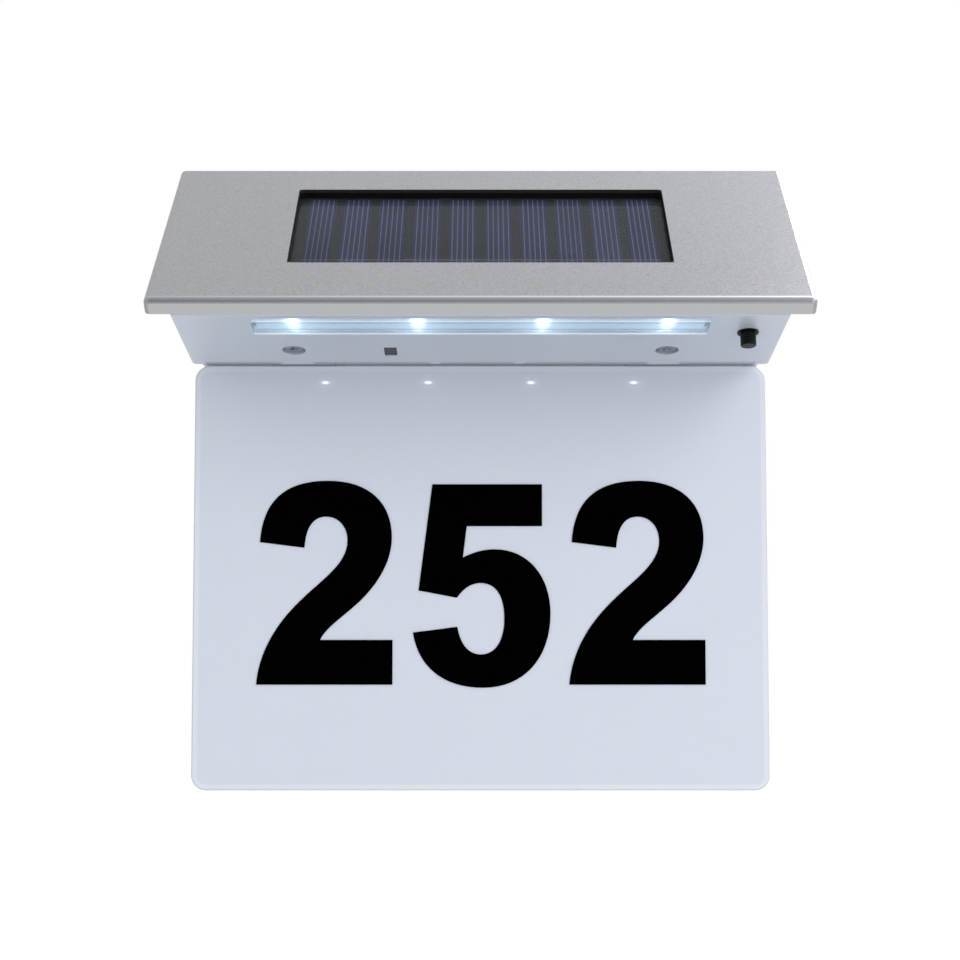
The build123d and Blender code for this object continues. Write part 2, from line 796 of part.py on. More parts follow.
# ----------------------------------------------------------- push button, switch
with BuildPart() as switch_body:
    with BuildSketch(on_bottom(button_x, button_forward, -collar_thickness)):
        Circle(collar_radius)
    extrude(amount=collar_thickness)
    with BuildSketch(on_bottom(button_x, button_forward, 0)):
        Circle(bush_radius)
    extrude(amount=bush_top)
    with BuildSketch(on_bottom(button_x, button_forward, bush_top)):
        RectangleRounded(switch_side, switch_side, bottom_edge_round)
    extrude(amount=switch_height)
    with BuildSketch(on_bottom(button_x, button_forward, -collar_thickness)):
        Circle(button_radius + sliding_gap)
    extrude(amount=collar_thickness + plunger_rim_base, mode=Mode.SUBTRACT)
    with BuildSketch(on_bottom(button_x, button_forward, plunger_rim_base)):
        Circle(plunger_rim_radius + sliding_gap)
    extrude(amount=switch_top - switch_roof - plunger_rim_base, mode=Mode.SUBTRACT)
finish("switch_body", switch_body)

with BuildPart() as switch_nut:
    with BuildSketch(on_bottom(button_x, button_forward, bottom_wall)):
        RegularPolygon(nut_across / 2, 6, major_radius=False)
        Circle(bush_radius, mode=Mode.SUBTRACT)
    extrude(amount=nut_thickness)
finish("switch_nut", switch_nut)

with BuildPart() as button_cap:
    with BuildSketch(on_bottom(button_x, button_forward, -button_reach)):
        Circle(button_radius)
    extrude(amount=button_reach + plunger_rim_base + sliding_gap)
    fillet(button_cap.faces().sort_by(bottom_in)[0].edges(), button_edge_round)
    with BuildSketch(on_bottom(button_x, button_forward, plunger_rim_base + sliding_gap)):
        Circle(plunger_rim_radius)
    extrude(amount=plunger_rim_height)
finish("button_cap", button_cap)

spring_base = plunger_rim_base + sliding_gap + plunger_rim_height + spring_wire_radius
spring_height = switch_top - switch_roof - spring_wire_radius - spring_base
spring_seat = on_bottom(button_x, button_forward, spring_base)
with BuildPart() as button_spring:
    with BuildLine(spring_seat) as spring_wire:
        Helix(spring_height / spring_turns, spring_height, spring_coil_radius)
    with BuildSketch(Plane(origin=spring_wire.line @ 0, z_dir=spring_wire.line % 0)):
        RegularPolygon(spring_wire_radius, spring_wire_sides)
    sweep()
finish("button_spring", button_spring)

# ------------------------------------------------------------------- dusk sensor
with BuildPart() as sensor_window:
    with BuildSketch(on_bottom(sensor_x, sensor_forward, sensor_window_recess)):
        Rectangle(sensor_window_width, sensor_window_length)
    extrude(amount=bottom_wall - sensor_window_recess)
    with BuildSketch(on_bottom(sensor_x, sensor_forward, bottom_wall)):
        Rectangle(
            sensor_window_width + 2 * sensor_window_margin,
            sensor_window_length + 2 * sensor_window_margin,
        )
    extrude(amount=sensor_window_flange)
finish("sensor_window", sensor_window)

with BuildPart() as light_sensor:
    sensor_base = bottom_wall + sensor_window_flange + 2 * fit_gap
    with BuildSketch(on_bottom(sensor_x, sensor_forward, sensor_base)):
        Circle(sensor_radius)
    extrude(amount=sensor_thickness)
    with BuildSketch(on_bottom(sensor_x, sensor_forward, sensor_base + sensor_thickness)):
        with GridLocations(sensor_leg_spacing, 0, 2, 1):
            Circle(sensor_leg_radius)
    extrude(amount=control_height - sensor_base - sensor_thickness)
finish("light_sensor", light_sensor)

# ----------------------------------------------------------------- control board
with BuildPart() as control_board:
    with BuildSketch(on_bottom(control_x, control_forward, control_height)):
        Rectangle(control_length, control_width)
    extrude(amount=control_thickness)
    for x, forward in control_post_places:
        with BuildSketch(on_bottom(x, forward, control_height)):
            Circle(small_screw_radius + drill_gap)
        extrude(amount=control_thickness, mode=Mode.SUBTRACT)
finish("control_board", control_board)

control_top = control_height + control_thickness
control_screws = board_screws(
    [x for x, forward in control_post_places],
    [forward for x, forward in control_post_places],
    control_top,
)
finish("control_board_screws", control_screws)

with BuildPart() as control_chip:
    with BuildSketch(on_bottom(chip_x, chip_forward, control_top)):
        Rectangle(chip_length, chip_width)
    extrude(amount=chip_height)
    with BuildSketch(on_bottom(chip_x, chip_forward, control_top)):
        with GridLocations(chip_leg_pitch, chip_width + chip_leg_reach, chip_legs_per_side, 2):
            Rectangle(chip_leg_width, chip_leg_reach)
    extrude(amount=chip_leg_thickness)
finish("control_chip", control_chip)

with BuildPart() as boost_coil:
    coil_seat = on_bottom(coil_x, coil_forward, control_top)
    with BuildSketch(Plane(origin=coil_seat.origin, x_dir=coil_seat.x_dir, z_dir=-coil_seat.y_dir)):
        with BuildLine():
            Polyline(
                (0, 0),
                (coil_rim_radius, 0),
                (coil_rim_radius, coil_rim_height),
                (coil_core_radius, coil_rim_height),
                (coil_core_radius, coil_height - coil_rim_height),
                (coil_rim_radius, coil_height - coil_rim_height),
                (coil_rim_radius, coil_height),
                (0, coil_height),
                close=True,
            )
        make_face()
    revolve(axis=Axis(coil_seat.origin, coil_seat.z_dir))
finish("boost_coil", boost_coil)

# ------------------------------------------------------- battery and its holder
with BuildPart() as battery_holder:
    with BuildSketch(Plane(origin=(holder_x, -holder_reach, shelf_top_z))):
        Rectangle(holder_length, holder_width)
    extrude(amount=holder_wall + holder_side_height)
    with BuildSketch(Plane(origin=(holder_x, -holder_reach, shelf_top_z + holder_wall))):
        Rectangle(holder_inner_length, holder_width - 2 * holder_wall)
    extrude(amount=holder_side_height, mode=Mode.SUBTRACT)
    # the middle of each long side is cut down, so that the cell can be gripped
    with BuildSketch(Plane(origin=(holder_x, -holder_reach, shelf_top_z + holder_grip_rise))):
        Rectangle(holder_grip_length, holder_width)
    extrude(amount=holder_side_height, mode=Mode.SUBTRACT)
    for side in to_left_and_right:
        with BuildSketch(
            Plane(origin=(holder_x + side * holder_screw_x, -holder_reach, shelf_top_z))
        ):
            Circle(small_screw_radius)
        extrude(amount=holder_wall, mode=Mode.SUBTRACT)
finish("battery_holder", battery_holder)

cell_start = holder_x - holder_inner_length / 2 + contact_spring_depth
with BuildPart() as battery:
    with BuildSketch(Plane(origin=(cell_start, -holder_reach, battery_axis_z), z_dir=(1, 0, 0))):
        Circle(battery_radius)
    extrude(amount=battery_length)
    chamfer(battery.edges().filter_by(GeomType.CIRCLE), battery_edge)
    with BuildSketch(
        Plane(origin=(cell_start + battery_length, -holder_reach, battery_axis_z), z_dir=(1, 0, 0))
    ):
        Circle(battery_nub_radius)
    extrude(amount=battery_nub_length)
finish("battery", battery)

with BuildPart() as battery_contacts:
    # a flat plate at the nub and a folded leaf spring at the other end
    plate_x = holder_x + holder_inner_length / 2 - contact_thickness
    contact_base_z = shelf_top_z + holder_wall
    with BuildSketch(Plane.XY.offset(contact_base_z)):
        with Locations((plate_x + contact_thickness / 2, -holder_reach)):
            Rectangle(contact_thickness, contact_width)
    extrude(amount=contact_height)
    leaf_x = holder_x - holder_inner_length / 2
    leaf_plane = Plane(
        origin=(leaf_x, -holder_reach + contact_width / 2, contact_base_z),
        x_dir=(1, 0, 0),
        z_dir=(0, 1, 0),
    )
    with BuildSketch(leaf_plane):
        with BuildLine():
            Polyline(
                (0, 0),
                (0, -contact_height),
                (2 * contact_thickness, -contact_height),
                (contact_spring_depth, -contact_height / 2),
                (2 * contact_thickness, -contact_thickness),
                (2 * contact_thickness, -3 * contact_thickness),
                (contact_spring_depth - 2 * contact_thickness, -contact_height / 2),
                (2 * contact_thickness, -contact_height + contact_thickness),
                (contact_thickness, -contact_height + contact_thickness),
                (contact_thickness, 0),
                close=True,
            )
        make_face()
    extrude(amount=-contact_width)
finish("battery_contacts", battery_contacts)

with BuildPart() as holder_screws:
    for side in to_left_and_right:
        screw_seat = Plane(origin=(holder_x + side * holder_screw_x, -holder_reach, shelf_underside_z))
        with BuildSketch(screw_seat):
            Circle(small_head_radius)
        extrude(amount=-small_head_height)
        with BuildSketch(screw_seat):
            Circle(small_screw_radius)
        extrude(amount=shelf_wall + holder_wall)
finish("holder_screws", holder_screws)

# ------------------------------------------------------------------- inner leads
def bend_radii(points):
    """The largest arcs that fit at the corners of a route, from its runs and turns."""
    radii = []
    for before, corner, after in zip(points, points[1:], points[2:]):
        run_in = corner - before
        run_out = after - corner
        half_turn = radians(run_in.get_angle(run_out)) / 2
        radii.append(lead_fillet_share * min(run_in.length, run_out.length) / tan(half_turn))
    return radii


def wires(name, routes):
    """One round wire along each route, with an arc at every corner."""
    with BuildPart() as bundle:
        for route in routes:
            radii = bend_radii(route)
            print(name, "bend radii", [round(radius, 1) for radius in radii])
            with BuildLine() as path:
                FilletPolyline(*route, radius=radii)
            with BuildSketch(Plane(origin=path.line @ 0, z_dir=path.line % 0)):
                Circle(lead_radius)
            sweep()
    finish(name, bundle)


lead_offsets = [side * lead_spacing / 2 for side in to_left_and_right]

# from the back of the solar panel, square to it, then down onto the control board
solar_routes = [
    [
        on_roof(solar_lead_x + offset, window_middle, solar_underside).origin,
        on_roof(solar_lead_x + offset, window_middle, solar_underside + lead_rise).origin,
        on_bottom(solar_lead_x + offset, solar_lead_forward, control_top + 2 * lead_rise).origin,
        on_bottom(solar_lead_x + offset, solar_lead_forward, control_top).origin,
    ]
    for offset in lead_offsets
]
wires("solar_lead", solar_routes)

# from the control board over to the light board
light_routes = [
    [
        on_bottom(light_lead_x + offset, light_lead_forward, control_top).origin,
        on_bottom(light_lead_x + offset, light_lead_forward, control_top + lead_rise).origin,
        on_bottom(light_lead_x + light_lead_step + offset, lens_centre, control_top + lead_rise).origin,
        on_bottom(
            light_lead_x + light_lead_step + offset, lens_centre, led_board_height + board_thickness
        ).origin,
    ]
    for offset in lead_offsets
]
wires("light_lead", light_routes)

# from the control board along the wedge to the side of the switch
switch_side_x = button_x - switch_side / 2
switch_routes = [
    [
        on_bottom(switch_lead_x, switch_lead_forward + offset, control_top).origin,
        on_bottom(switch_lead_x, switch_lead_forward + offset, switch_lead_height + lead_rise).origin,
        on_bottom(
            switch_side_x - switch_lead_run, button_forward + offset, switch_lead_height
        ).origin,
        on_bottom(switch_side_x, button_forward + offset, switch_lead_height).origin,
    ]
    for offset in lead_offsets
]
wires("switch_lead", switch_routes)

# from the two ends of the battery holder to the control board
left_end = Vector(holder_x - holder_length / 2, -holder_reach, shelf_top_z + cell_lead_height)
right_end = Vector(holder_x + holder_length / 2, -holder_reach, shelf_top_z + cell_lead_height)
right_landing = on_bottom(cell_lead_right_x, cell_lead_forward, control_top)
battery_routes = [
    [
        left_end,
        left_end - Vector(cell_lead_run, 0, 0),
        on_bottom(cell_lead_left_x, solar_lead_forward, control_top + lead_rise).origin,
        on_bottom(cell_lead_left_x, solar_lead_forward, control_top).origin,
    ],
    [
        right_end,
        right_end + Vector(cell_lead_run, 0, 0),
        on_bottom(
            holder_x + holder_length / 2, cell_lead_forward, control_top + lead_rise
        ).origin,
        on_bottom(cell_lead_right_x, cell_lead_forward, control_top + lead_rise).origin,
        right_landing.origin,
    ],
]
wires("battery_lead", battery_routes)

# ------------------------------------------------------------------------ export
os.makedirs("parts", exist_ok=True)
for name, piece in pieces.items():
    export_step(piece, f"parts/{name}.step")
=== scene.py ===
"""Studio picture of a house number sign with a solar roof and a strip of lights.

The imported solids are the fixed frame. This file gives them their finishes, adds the
cross-head screws, the switch's spring and the stick-on numbers, and sets up the camera
and the light. Lengths are in metres unless a name or docstring says millimetres, in the
frame of the solids: +Z up, the wall at Y = 0, the sign faces -Y.
"""
import logging
import math
from abc import ABC, abstractmethod
from dataclasses import dataclass
from enum import Enum
from functools import cached_property
from typing import Any, Callable, Sequence

import bpy
from mathutils import Matrix, Vector


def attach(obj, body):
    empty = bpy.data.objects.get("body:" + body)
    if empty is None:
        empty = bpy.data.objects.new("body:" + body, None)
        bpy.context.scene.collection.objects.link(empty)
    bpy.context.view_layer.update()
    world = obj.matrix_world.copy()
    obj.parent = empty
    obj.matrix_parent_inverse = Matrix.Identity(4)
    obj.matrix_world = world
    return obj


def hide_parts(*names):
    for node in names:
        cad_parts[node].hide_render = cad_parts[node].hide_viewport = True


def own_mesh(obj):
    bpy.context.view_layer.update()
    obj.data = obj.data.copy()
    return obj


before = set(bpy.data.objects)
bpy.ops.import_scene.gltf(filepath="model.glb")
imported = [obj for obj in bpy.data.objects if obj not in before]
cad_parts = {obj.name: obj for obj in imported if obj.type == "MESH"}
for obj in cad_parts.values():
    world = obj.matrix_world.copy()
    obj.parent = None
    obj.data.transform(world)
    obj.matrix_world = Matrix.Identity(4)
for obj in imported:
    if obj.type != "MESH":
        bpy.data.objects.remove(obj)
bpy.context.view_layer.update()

LOG = logging.getLogger("sign")

Tone = tuple[float, float, float]
Place = tuple[float, float, float]
Point = tuple[float, float]

ROOF_SLOPE = math.radians(42.85)
BOTTOM_SLOPE = math.radians(10.6)
MILLIMETRE = 0.001
GREY = (0.5, 0.5, 0.5, 1.0)
ACRYLIC_IOR = 1.49


class Body(Enum):
    """The body that modelled pieces ride on."""

    HOUSING = "housing"


class Facing(Enum):
    """The side that a screw head looks towards, as a turn about X from +Z."""

    BOTTOM_COVER = math.pi - BOTTOM_SLOPE
    WALL = -math.pi / 2
    GROUND = math.pi


# ------------------------------------------------------------------ shader wiring
def spaced(name: str) -> str:
    """Return a name with spaces for its underscores."""
    return name.replace("_", " ")


def math_method(operation: str, swapped: bool = False) -> Callable[..., "Value"]:
    """Return a method that adds a Math node.

    Args:
        operation: the node's operation.
        swapped: whether the method's own value is the second term.
    """

    def method(value: "Value", other: Any = 0.0) -> "Value":
        """Add the node and return its result."""
        terms = (other, value) if swapped else (value, other)
        return value.wiring.calc(operation, *terms)

    return method


@dataclass(frozen=True, eq=False)
class Value:
    """A node's output, which stands in sums like a plain number."""

    wiring: "Wiring"
    socket: bpy.types.NodeSocket

    __add__ = math_method("ADD")
    __sub__ = math_method("SUBTRACT")
    __rsub__ = math_method("SUBTRACT", swapped=True)
    __mul__ = math_method("MULTIPLY")
    __truediv__ = math_method("DIVIDE")
    __lt__ = math_method("LESS_THAN")
    __gt__ = math_method("GREATER_THAN")
    __abs__ = math_method("ABSOLUTE")


class Wiring:
    """Adds and joins shader nodes in one tree."""

    def __init__(self, tree: bpy.types.NodeTree) -> None:
        """Take the tree to work on."""
        self.tree = tree

    def feed(self, value: Any, socket: bpy.types.NodeSocket) -> None:
        """Link a node's output to an input, or set the input to a constant."""
        if isinstance(value, Value):
            self.tree.links.new(value.socket, socket)
        elif isinstance(value, tuple) and len(value) == 3 and len(socket.default_value) == 4:
            socket.default_value = (*value, 1.0)
        else:
            socket.default_value = value

    def node(
        self, kind: str, inputs: dict[Any, Any] | None = None, **settings: Any
    ) -> dict[Any, Value]:
        """Add a node.

        Args:
            kind: its type without the ShaderNode prefix.
            inputs: values for its inputs, by name or number.
            settings: attributes to set on it.

        Returns:
            Its outputs, by name and by number.
        """
        made = self.tree.nodes.new(f"ShaderNode{kind}")
        for key, value in settings.items():
            setattr(made, key, value)
        for key, value in (inputs or {}).items():
            self.feed(value, made.inputs[key])
        outputs = enumerate(made.outputs)
        return {key: Value(self, end) for at, end in outputs for key in (at, end.name)}

    def calc(self, operation: str, *terms: Any) -> Value:
        """Return the result of a Math node's operation on some terms."""
        return self.node("Math", dict(enumerate(terms)), operation=operation)[0]

    def blend(self, share: Value, first: Any, second: Any) -> Value:
        """Return the mix of two colours by the share of the second."""
        return self.node("Mix", {0: share, 6: first, 7: second}, data_type="RGBA")[2]

    def mixed(self, share: Value, first: Value, second: Value) -> Value:
        """Return the mix of two shaders by the share of the second."""
        return self.node("MixShader", {0: share, 1: first, 2: second})[0]

    def rays(self, name: str) -> Value:
        """Return whether the light path is of a kind."""
        return self.node("LightPath")[name]

    def ramp(
        self,
        value: Value,
        start: Any,
        stop: Any,
        low: float = 0.0,
        high: float = 1.0,
        form: str = "SMOOTHSTEP",
    ) -> Value:
        """Map a value's range onto another one, and hold it beyond.

        Args:
            value: the value.
            start: where it gives low.
            stop: where it gives high.
            low: the result at the start.
            high: the result at the stop.
            form: the ramp's interpolation.

        Returns:
            The result.
        """
        names = ("Value", "From Min", "From Max", "To Min", "To Max")
        inputs = dict(zip(names, (value, start, stop, low, high)))
        return self.node("MapRange", inputs, interpolation_type=form)["Result"]

    def use(self, effect: bpy.types.NodeTree, **values: Any) -> dict[Any, Value]:
        """Place a shared effect.

        Args:
            effect: its node group.
            values: its inputs, with underscores for spaces.

        Returns:
            Its outputs.
        """
        made = self.tree.nodes.new("ShaderNodeGroup")
        made.node_tree = effect
        for key, value in values.items():
            self.feed(value, made.inputs[spaced(key)])
        return {end.name: Value(self, end) for end in made.outputs}


class ShaderGroup(Wiring):
    """A shader node group with named sockets, while it is being wired."""

    def __init__(self, name: str, **inputs: Any) -> None:
        """Start a group.

        Args:
            name: its name in the file.
            inputs: what its inputs hold where nothing is given, with underscores for
                spaces in their names.
        """
        super().__init__(bpy.data.node_groups.new(name, "ShaderNodeTree"))
        self.inlet = self.tree.nodes.new("NodeGroupInput")
        self.outlet = self.tree.nodes.new("NodeGroupOutput")
        for key, value in inputs.items():
            self.add_socket(key, "INPUT").default_value = value

    def add_socket(self, key: str, side: str) -> bpy.types.NodeTreeInterfaceSocket:
        """Add a socket to the group. The one called Colour is a colour, others are numbers."""
        kind = "NodeSocketColor" if key == "Colour" else "NodeSocketFloat"
        return self.tree.interface.new_socket(name=spaced(key), in_out=side, socket_type=kind)

    def __getitem__(self, name: str) -> Value:
        """Return one of the group's inputs."""
        return Value(self, self.inlet.outputs[name])

    def out(self, **values: Value) -> bpy.types.NodeTree:
        """Add the group's outputs, link them to their values, and return the group."""
        for key, value in values.items():
            self.add_socket(key, "OUTPUT")
            self.feed(value, self.outlet.inputs[spaced(key)])
        return self.tree

    def place(self) -> Value:
        """Return the surface's place in the sign's frame."""
        return self.node("TexCoord")["Object"]

    def axes(self) -> tuple[Value, Value, Value]:
        """Return X, Y and Z of the surface's place."""
        split = self.node("SeparateXYZ", {0: self.place()})
        return split[0], split[1], split[2]

    def noise(
        self, scale: Any, detail: float = 2.0, roughness: float = 0.5, place: Value | None = None
    ) -> Value:
        """Add a noise pattern.

        Args:
            scale: patches per metre.
            detail: how many finer layers it has.
            roughness: how strong these are.
            place: where it is sampled, if not at the surface's own place.

        Returns:
            The noise value.
        """
        inputs = {"Scale": scale, "Detail": detail, "Roughness": roughness}
        return self.node("TexNoise", {"Vector": place or self.place(), **inputs})["Fac"]

    def tinted(self, gain: Value) -> Value:
        """Return the group's given colour times a gain."""
        inputs = {0: self["Colour"], "Scale": gain}
        return self.node("VectorMath", inputs, operation="SCALE")[0]


class Effects:
    """The shared surface effects, each built once, at its first use."""

    @cached_property
    def flake(self) -> bpy.types.NodeTree:
        """Metallic paint: fine bright and dark flakes over soft, wide clouds."""
        group = ShaderGroup(
            "metal_flake",
            Colour=GREY,
            Flake_Scale=2600.0,
            Flake_Contrast=0.12,
            Cloud_Contrast=0.04,
        )
        fine = group.noise(group["Flake Scale"], 1.0)
        flake = fine - 0.5
        cloud = group.noise(38.0, 3.0) - 0.5
        gain = cloud * group["Cloud Contrast"] + (flake * group["Flake Contrast"] + 1.0)
        return group.out(Colour=group.tinted(gain), Gloss=flake * 0.22, Height=fine)

    @cached_property
    def grain(self) -> bpy.types.NodeTree:
        """Moulded plastic: a fine even grain and a slow change of tone."""
        group = ShaderGroup("moulded_grain", Colour=GREY, Grain_Scale=1800.0, Tone_Change=0.06)
        fine = group.noise(group["Grain Scale"], roughness=0.6)
        both = fine * 0.4 + group.noise(24.0) * 0.6
        gain = (both - 0.5) * group["Tone Change"] + 1.0
        return group.out(Colour=group.tinted(gain), Height=fine)

    @cached_property
    def smudge(self) -> bpy.types.NodeTree:
        """Polished clear stuff: faint wide smears that change the gloss."""
        group = ShaderGroup("handling_smears", Amount=0.05, Base=0.05)
        wide = group.noise(60.0, 4.0, 0.65)
        return group.out(Roughness=wide * group["Amount"] + group["Base"], Height=wide)

    @cached_property
    def brushed(self) -> bpy.types.NodeTree:
        """Turned or brushed metal: short fine lines across the piece."""
        group = ShaderGroup("brushed_lines", Colour=GREY, Line_Scale=900.0, Base_Roughness=0.3)
        inputs = {"Vector": group.place(), "Scale": (0.12, 1.0, 1.0)}
        stretched = group.node("Mapping", inputs)[0]
        lines = group.noise(group["Line Scale"], 3.0, place=stretched)
        return group.out(
            Colour=group.tinted((lines - 0.5) * 0.25 + 1.0),
            Roughness=lines * 0.2 + group["Base Roughness"],
            Height=lines,
        )

    @cached_property
    def rounded_rim(self) -> bpy.types.NodeTree:
        """A band just inside the outline of a plate with round corners, upright or tilted."""
        group = ShaderGroup(
            "rounded_rim",
            Y_Share=0.0,
            Z_Share=1.0,
            Middle=0.0,
            Half_Width=0.1,
            Half_Height=0.1,
            Corner=0.005,
            Band=0.002,
        )
        x, y, z = group.axes()
        corner, band = group["Corner"], group["Band"]
        along = y * group["Y Share"] + z * group["Z Share"] - group["Middle"]
        past = [abs(x) - group["Half Width"] + corner, abs(along) - group["Half Height"] + corner]
        across, upward = (group.calc("MAXIMUM", side, 0.0) for side in past)
        outer = group.calc("SQRT", across * across + upward * upward)
        inner = group.calc("MINIMUM", group.calc("MAXIMUM", *past), 0.0)
        distance = outer + inner - corner
        return group.out(
            Rim=group.ramp(distance, band * -1.0, band * -0.7),
            Edge=group.ramp(distance, band * -0.28, band * -0.1),
        )

    @cached_property
    def fingers(self) -> bpy.types.NodeTree:
        """Thin printed lines that run up the slope, and a cell-to-cell change of tone."""
        group = ShaderGroup(
            "cell_fingers",
            Cell_Pitch=0.0111,
            Finger_Pitch=0.00158,
            Line_Width=0.00026,
            Bus_Z=-0.0073,
            Bus_Half_Width=0.00016,
            Bus_Reach=0.0545,
        )
        x, _, z = group.axes()
        pitch = group["Finger Pitch"]
        cell = x / group["Cell Pitch"]
        away = (group.calc("FRACT", cell + 64.0) - 0.5) * group["Cell Pitch"]
        near = abs(group.calc("FRACT", away / pitch + 32.5) - 0.5) * pitch
        lines = group.ramp(near / group["Line Width"], 0.9, 0.25)
        level = abs(z - group["Bus Z"]) < group["Bus Half Width"]
        bus = level * (abs(x) < group["Bus Reach"])
        count = group.calc("FLOOR", cell)
        tone = group.node("TexWhiteNoise", {"W": count}, noise_dimensions="1D")["Value"]
        finger = group.calc("MAXIMUM", lines, bus)
        return group.out(Finger=finger, Bus=bus, Cell_Tone=tone, Sparkle=group.noise(700.0))

    @cached_property
    def bands(self) -> bpy.types.NodeTree:
        """A mask that is 1 between two places along X."""
        group = ShaderGroup("sleeve_rings", Start=0.0, Stop=0.0)
        x = group.axes()[0]
        return group.out(Ring=(x > group["Start"]) * (x < group["Stop"]))

    @cached_property
    def tracks(self) -> bpy.types.NodeTree:
        """Copper runs of a circuit board, seen through its lacquer."""
        group = ShaderGroup("board_tracks", Scale=260.0)
        inputs = {"Vector": group.place(), "Scale": group["Scale"], "Mortar Size": 0.035}
        return group.out(Track=group.node("TexBrick", inputs)["Fac"])

    @cached_property
    def roof_zones(self) -> bpy.types.NodeTree:
        """Zones of the sloping roof where light and shade are painted: its window's cut edge, its
        fold, the band below and the lip.
        """
        group = ShaderGroup(
            "roof_zones",
            Slope_Sine=0.68,
            Slope_Cosine=0.733,
            Top_Y=0.0,
            Top_Z=0.0,
            Window_Half_Width=0.05,
            Window_Start=0.01,
            Window_End=0.06,
            Fold_Start=0.08,
            Fold_Width=0.0006,
        )
        x, y, z = group.axes()
        width, start = group["Fold Width"], group["Fold Start"]
        # where the band begins, the band ends and the lip begins, in widths past the start
        band_start, band_end, lip_start = (0.5, 1.1), (3.3, 3.5), (3.3, 3.48)
        # distance down the roof from its top edge
        down = (group["Top Y"] - y) * group["Slope Cosine"]
        down = down + (group["Top Z"] - z) * group["Slope Sine"]
        window = (down > group["Window Start"]) * (down < group["Window End"])
        # the painted key-light highlight along the fold, brighter towards the right
        away = abs(down - (width * 0.1 + start))
        lit = group.ramp(x, -0.1, 0.09, low=0.15, form="LINEAR")
        # the speckled dark band below it, a painted reflection, and the lip's painted floor light
        begin, end, lip = (
            group.ramp(down - start, width * first, width * last)
            for first, last in (band_start, band_end, lip_start)
        )
        band = (begin - end) * group.ramp(abs(x), 0.0963, 0.0950) * (lit * -0.45 + 1.0)
        return group.out(
            Window=window * (abs(x) < group["Window Half Width"]),
            Fold=group.ramp(away, width * 0.9, width * 0.45) * lit,
            Shade=band * (group.noise(1500.0) * 2.4 - 0.55),
            Lip=lip,
        )

    @cached_property
    def halos(self) -> bpy.types.NodeTree:
        """Soft painted halos of light round a row of evenly spaced points along X, up to a front
        in Y.
        """
        group = ShaderGroup(
            "lamp_halos",
            Pitch=0.03676,
            Shift=0.5,
            Centre=0.0,
            Radius=0.003,
            Flatness=1.0,
            Level=0.0,
            Front=1.0,
        )
        x, y, z = group.axes()
        pitch, radius = group["Pitch"], group["Radius"]
        step = (x - group["Centre"]) / pitch + (group["Shift"] + 64.5)
        across = (group.calc("FRACT", step) - 0.5) * pitch
        upward = (z - group["Level"]) * group["Flatness"]
        ratio = (across * across + upward * upward) / (radius * radius)
        halo = group.calc("EXPONENT", ratio * -1.0)
        return group.out(Halo=halo * (y < group["Front"]))


# ----------------------------------------------------------------------- finishes
class Coating(Wiring):
    """A material under construction around one Principled shader."""

    def __init__(self, name: str) -> None:
        """Start a material with its shader and output."""
        self.material = bpy.data.materials.new(name)
        self.material.use_nodes = True
        super().__init__(self.material.node_tree)
        self.shader = self.tree.nodes["Principled BSDF"]
        self.surface = Value(self, self.shader.outputs[0])

    def set(self, **values: Any) -> None:
        """Set or link inputs of the shader, with underscores for spaces."""
        for key, value in values.items():
            self.feed(value, self.shader.inputs[spaced(key)])

    def tint(self, share: Value, tone: Tone) -> None:
        """Lay a tone over the linked base colour.

        Args:
            share: how much of it shows.
            tone: the tone.
        """
        target = self.shader.inputs["Base Color"]
        under = Value(self, target.links[0].from_socket)
        self.feed(self.blend(share, under, tone), target)

    def bump(self, height: Value, depth: float, strength: float) -> None:
        """Raise the surface by a height pattern.

        Args:
            height: the pattern.
            depth: how far it rises, in metres.
            strength: how much of it shows.
        """
        inputs = {"Distance": depth, "Strength": strength, "Height": height}
        self.set(Normal=self.node("Bump", inputs)["Normal"])

    def show(self, surface: Value) -> None:
        """Link a shader to the material's output."""
        self.feed(surface, self.tree.nodes["Material Output"].inputs["Surface"])


@dataclass(frozen=True)
class Finish(ABC):
    """A surface that pieces of the sign wear."""

    name: str

    def build(self, effects: Effects) -> bpy.types.Material:
        """Return the finished material."""
        made = Coating(self.name)
        self.coat(made, effects)
        return made.material

    @abstractmethod
    def coat(self, made: Coating, effects: Effects) -> None:
        """Wire the surface.

        Args:
            made: the material under construction.
            effects: the shared effects.
        """


@dataclass(frozen=True)
class MetallicPaint(Finish):
    """Silver paint with fine flakes under a thin clear coat."""

    colour: Tone
    metallic: float = 0.55
    roughness: float = 0.36
    coat_weight: float = 0.15
    flake_contrast: float = 0.16
    flake_scale: float = 2300.0
    relief: float = 0.00002

    def coat(self, made: Coating, effects: Effects) -> None:
        """Wire the surface."""
        flake = made.use(
            effects.flake,
            Colour=self.colour,
            Flake_Contrast=self.flake_contrast,
            Flake_Scale=self.flake_scale,
        )
        made.set(
            Base_Color=flake["Colour"],
            Metallic=self.metallic,
            Roughness=flake["Gloss"] + self.roughness,
            Coat_Weight=self.coat_weight,
            Coat_Roughness=0.3,
        )
        made.bump(flake["Height"], self.relief, 0.6)


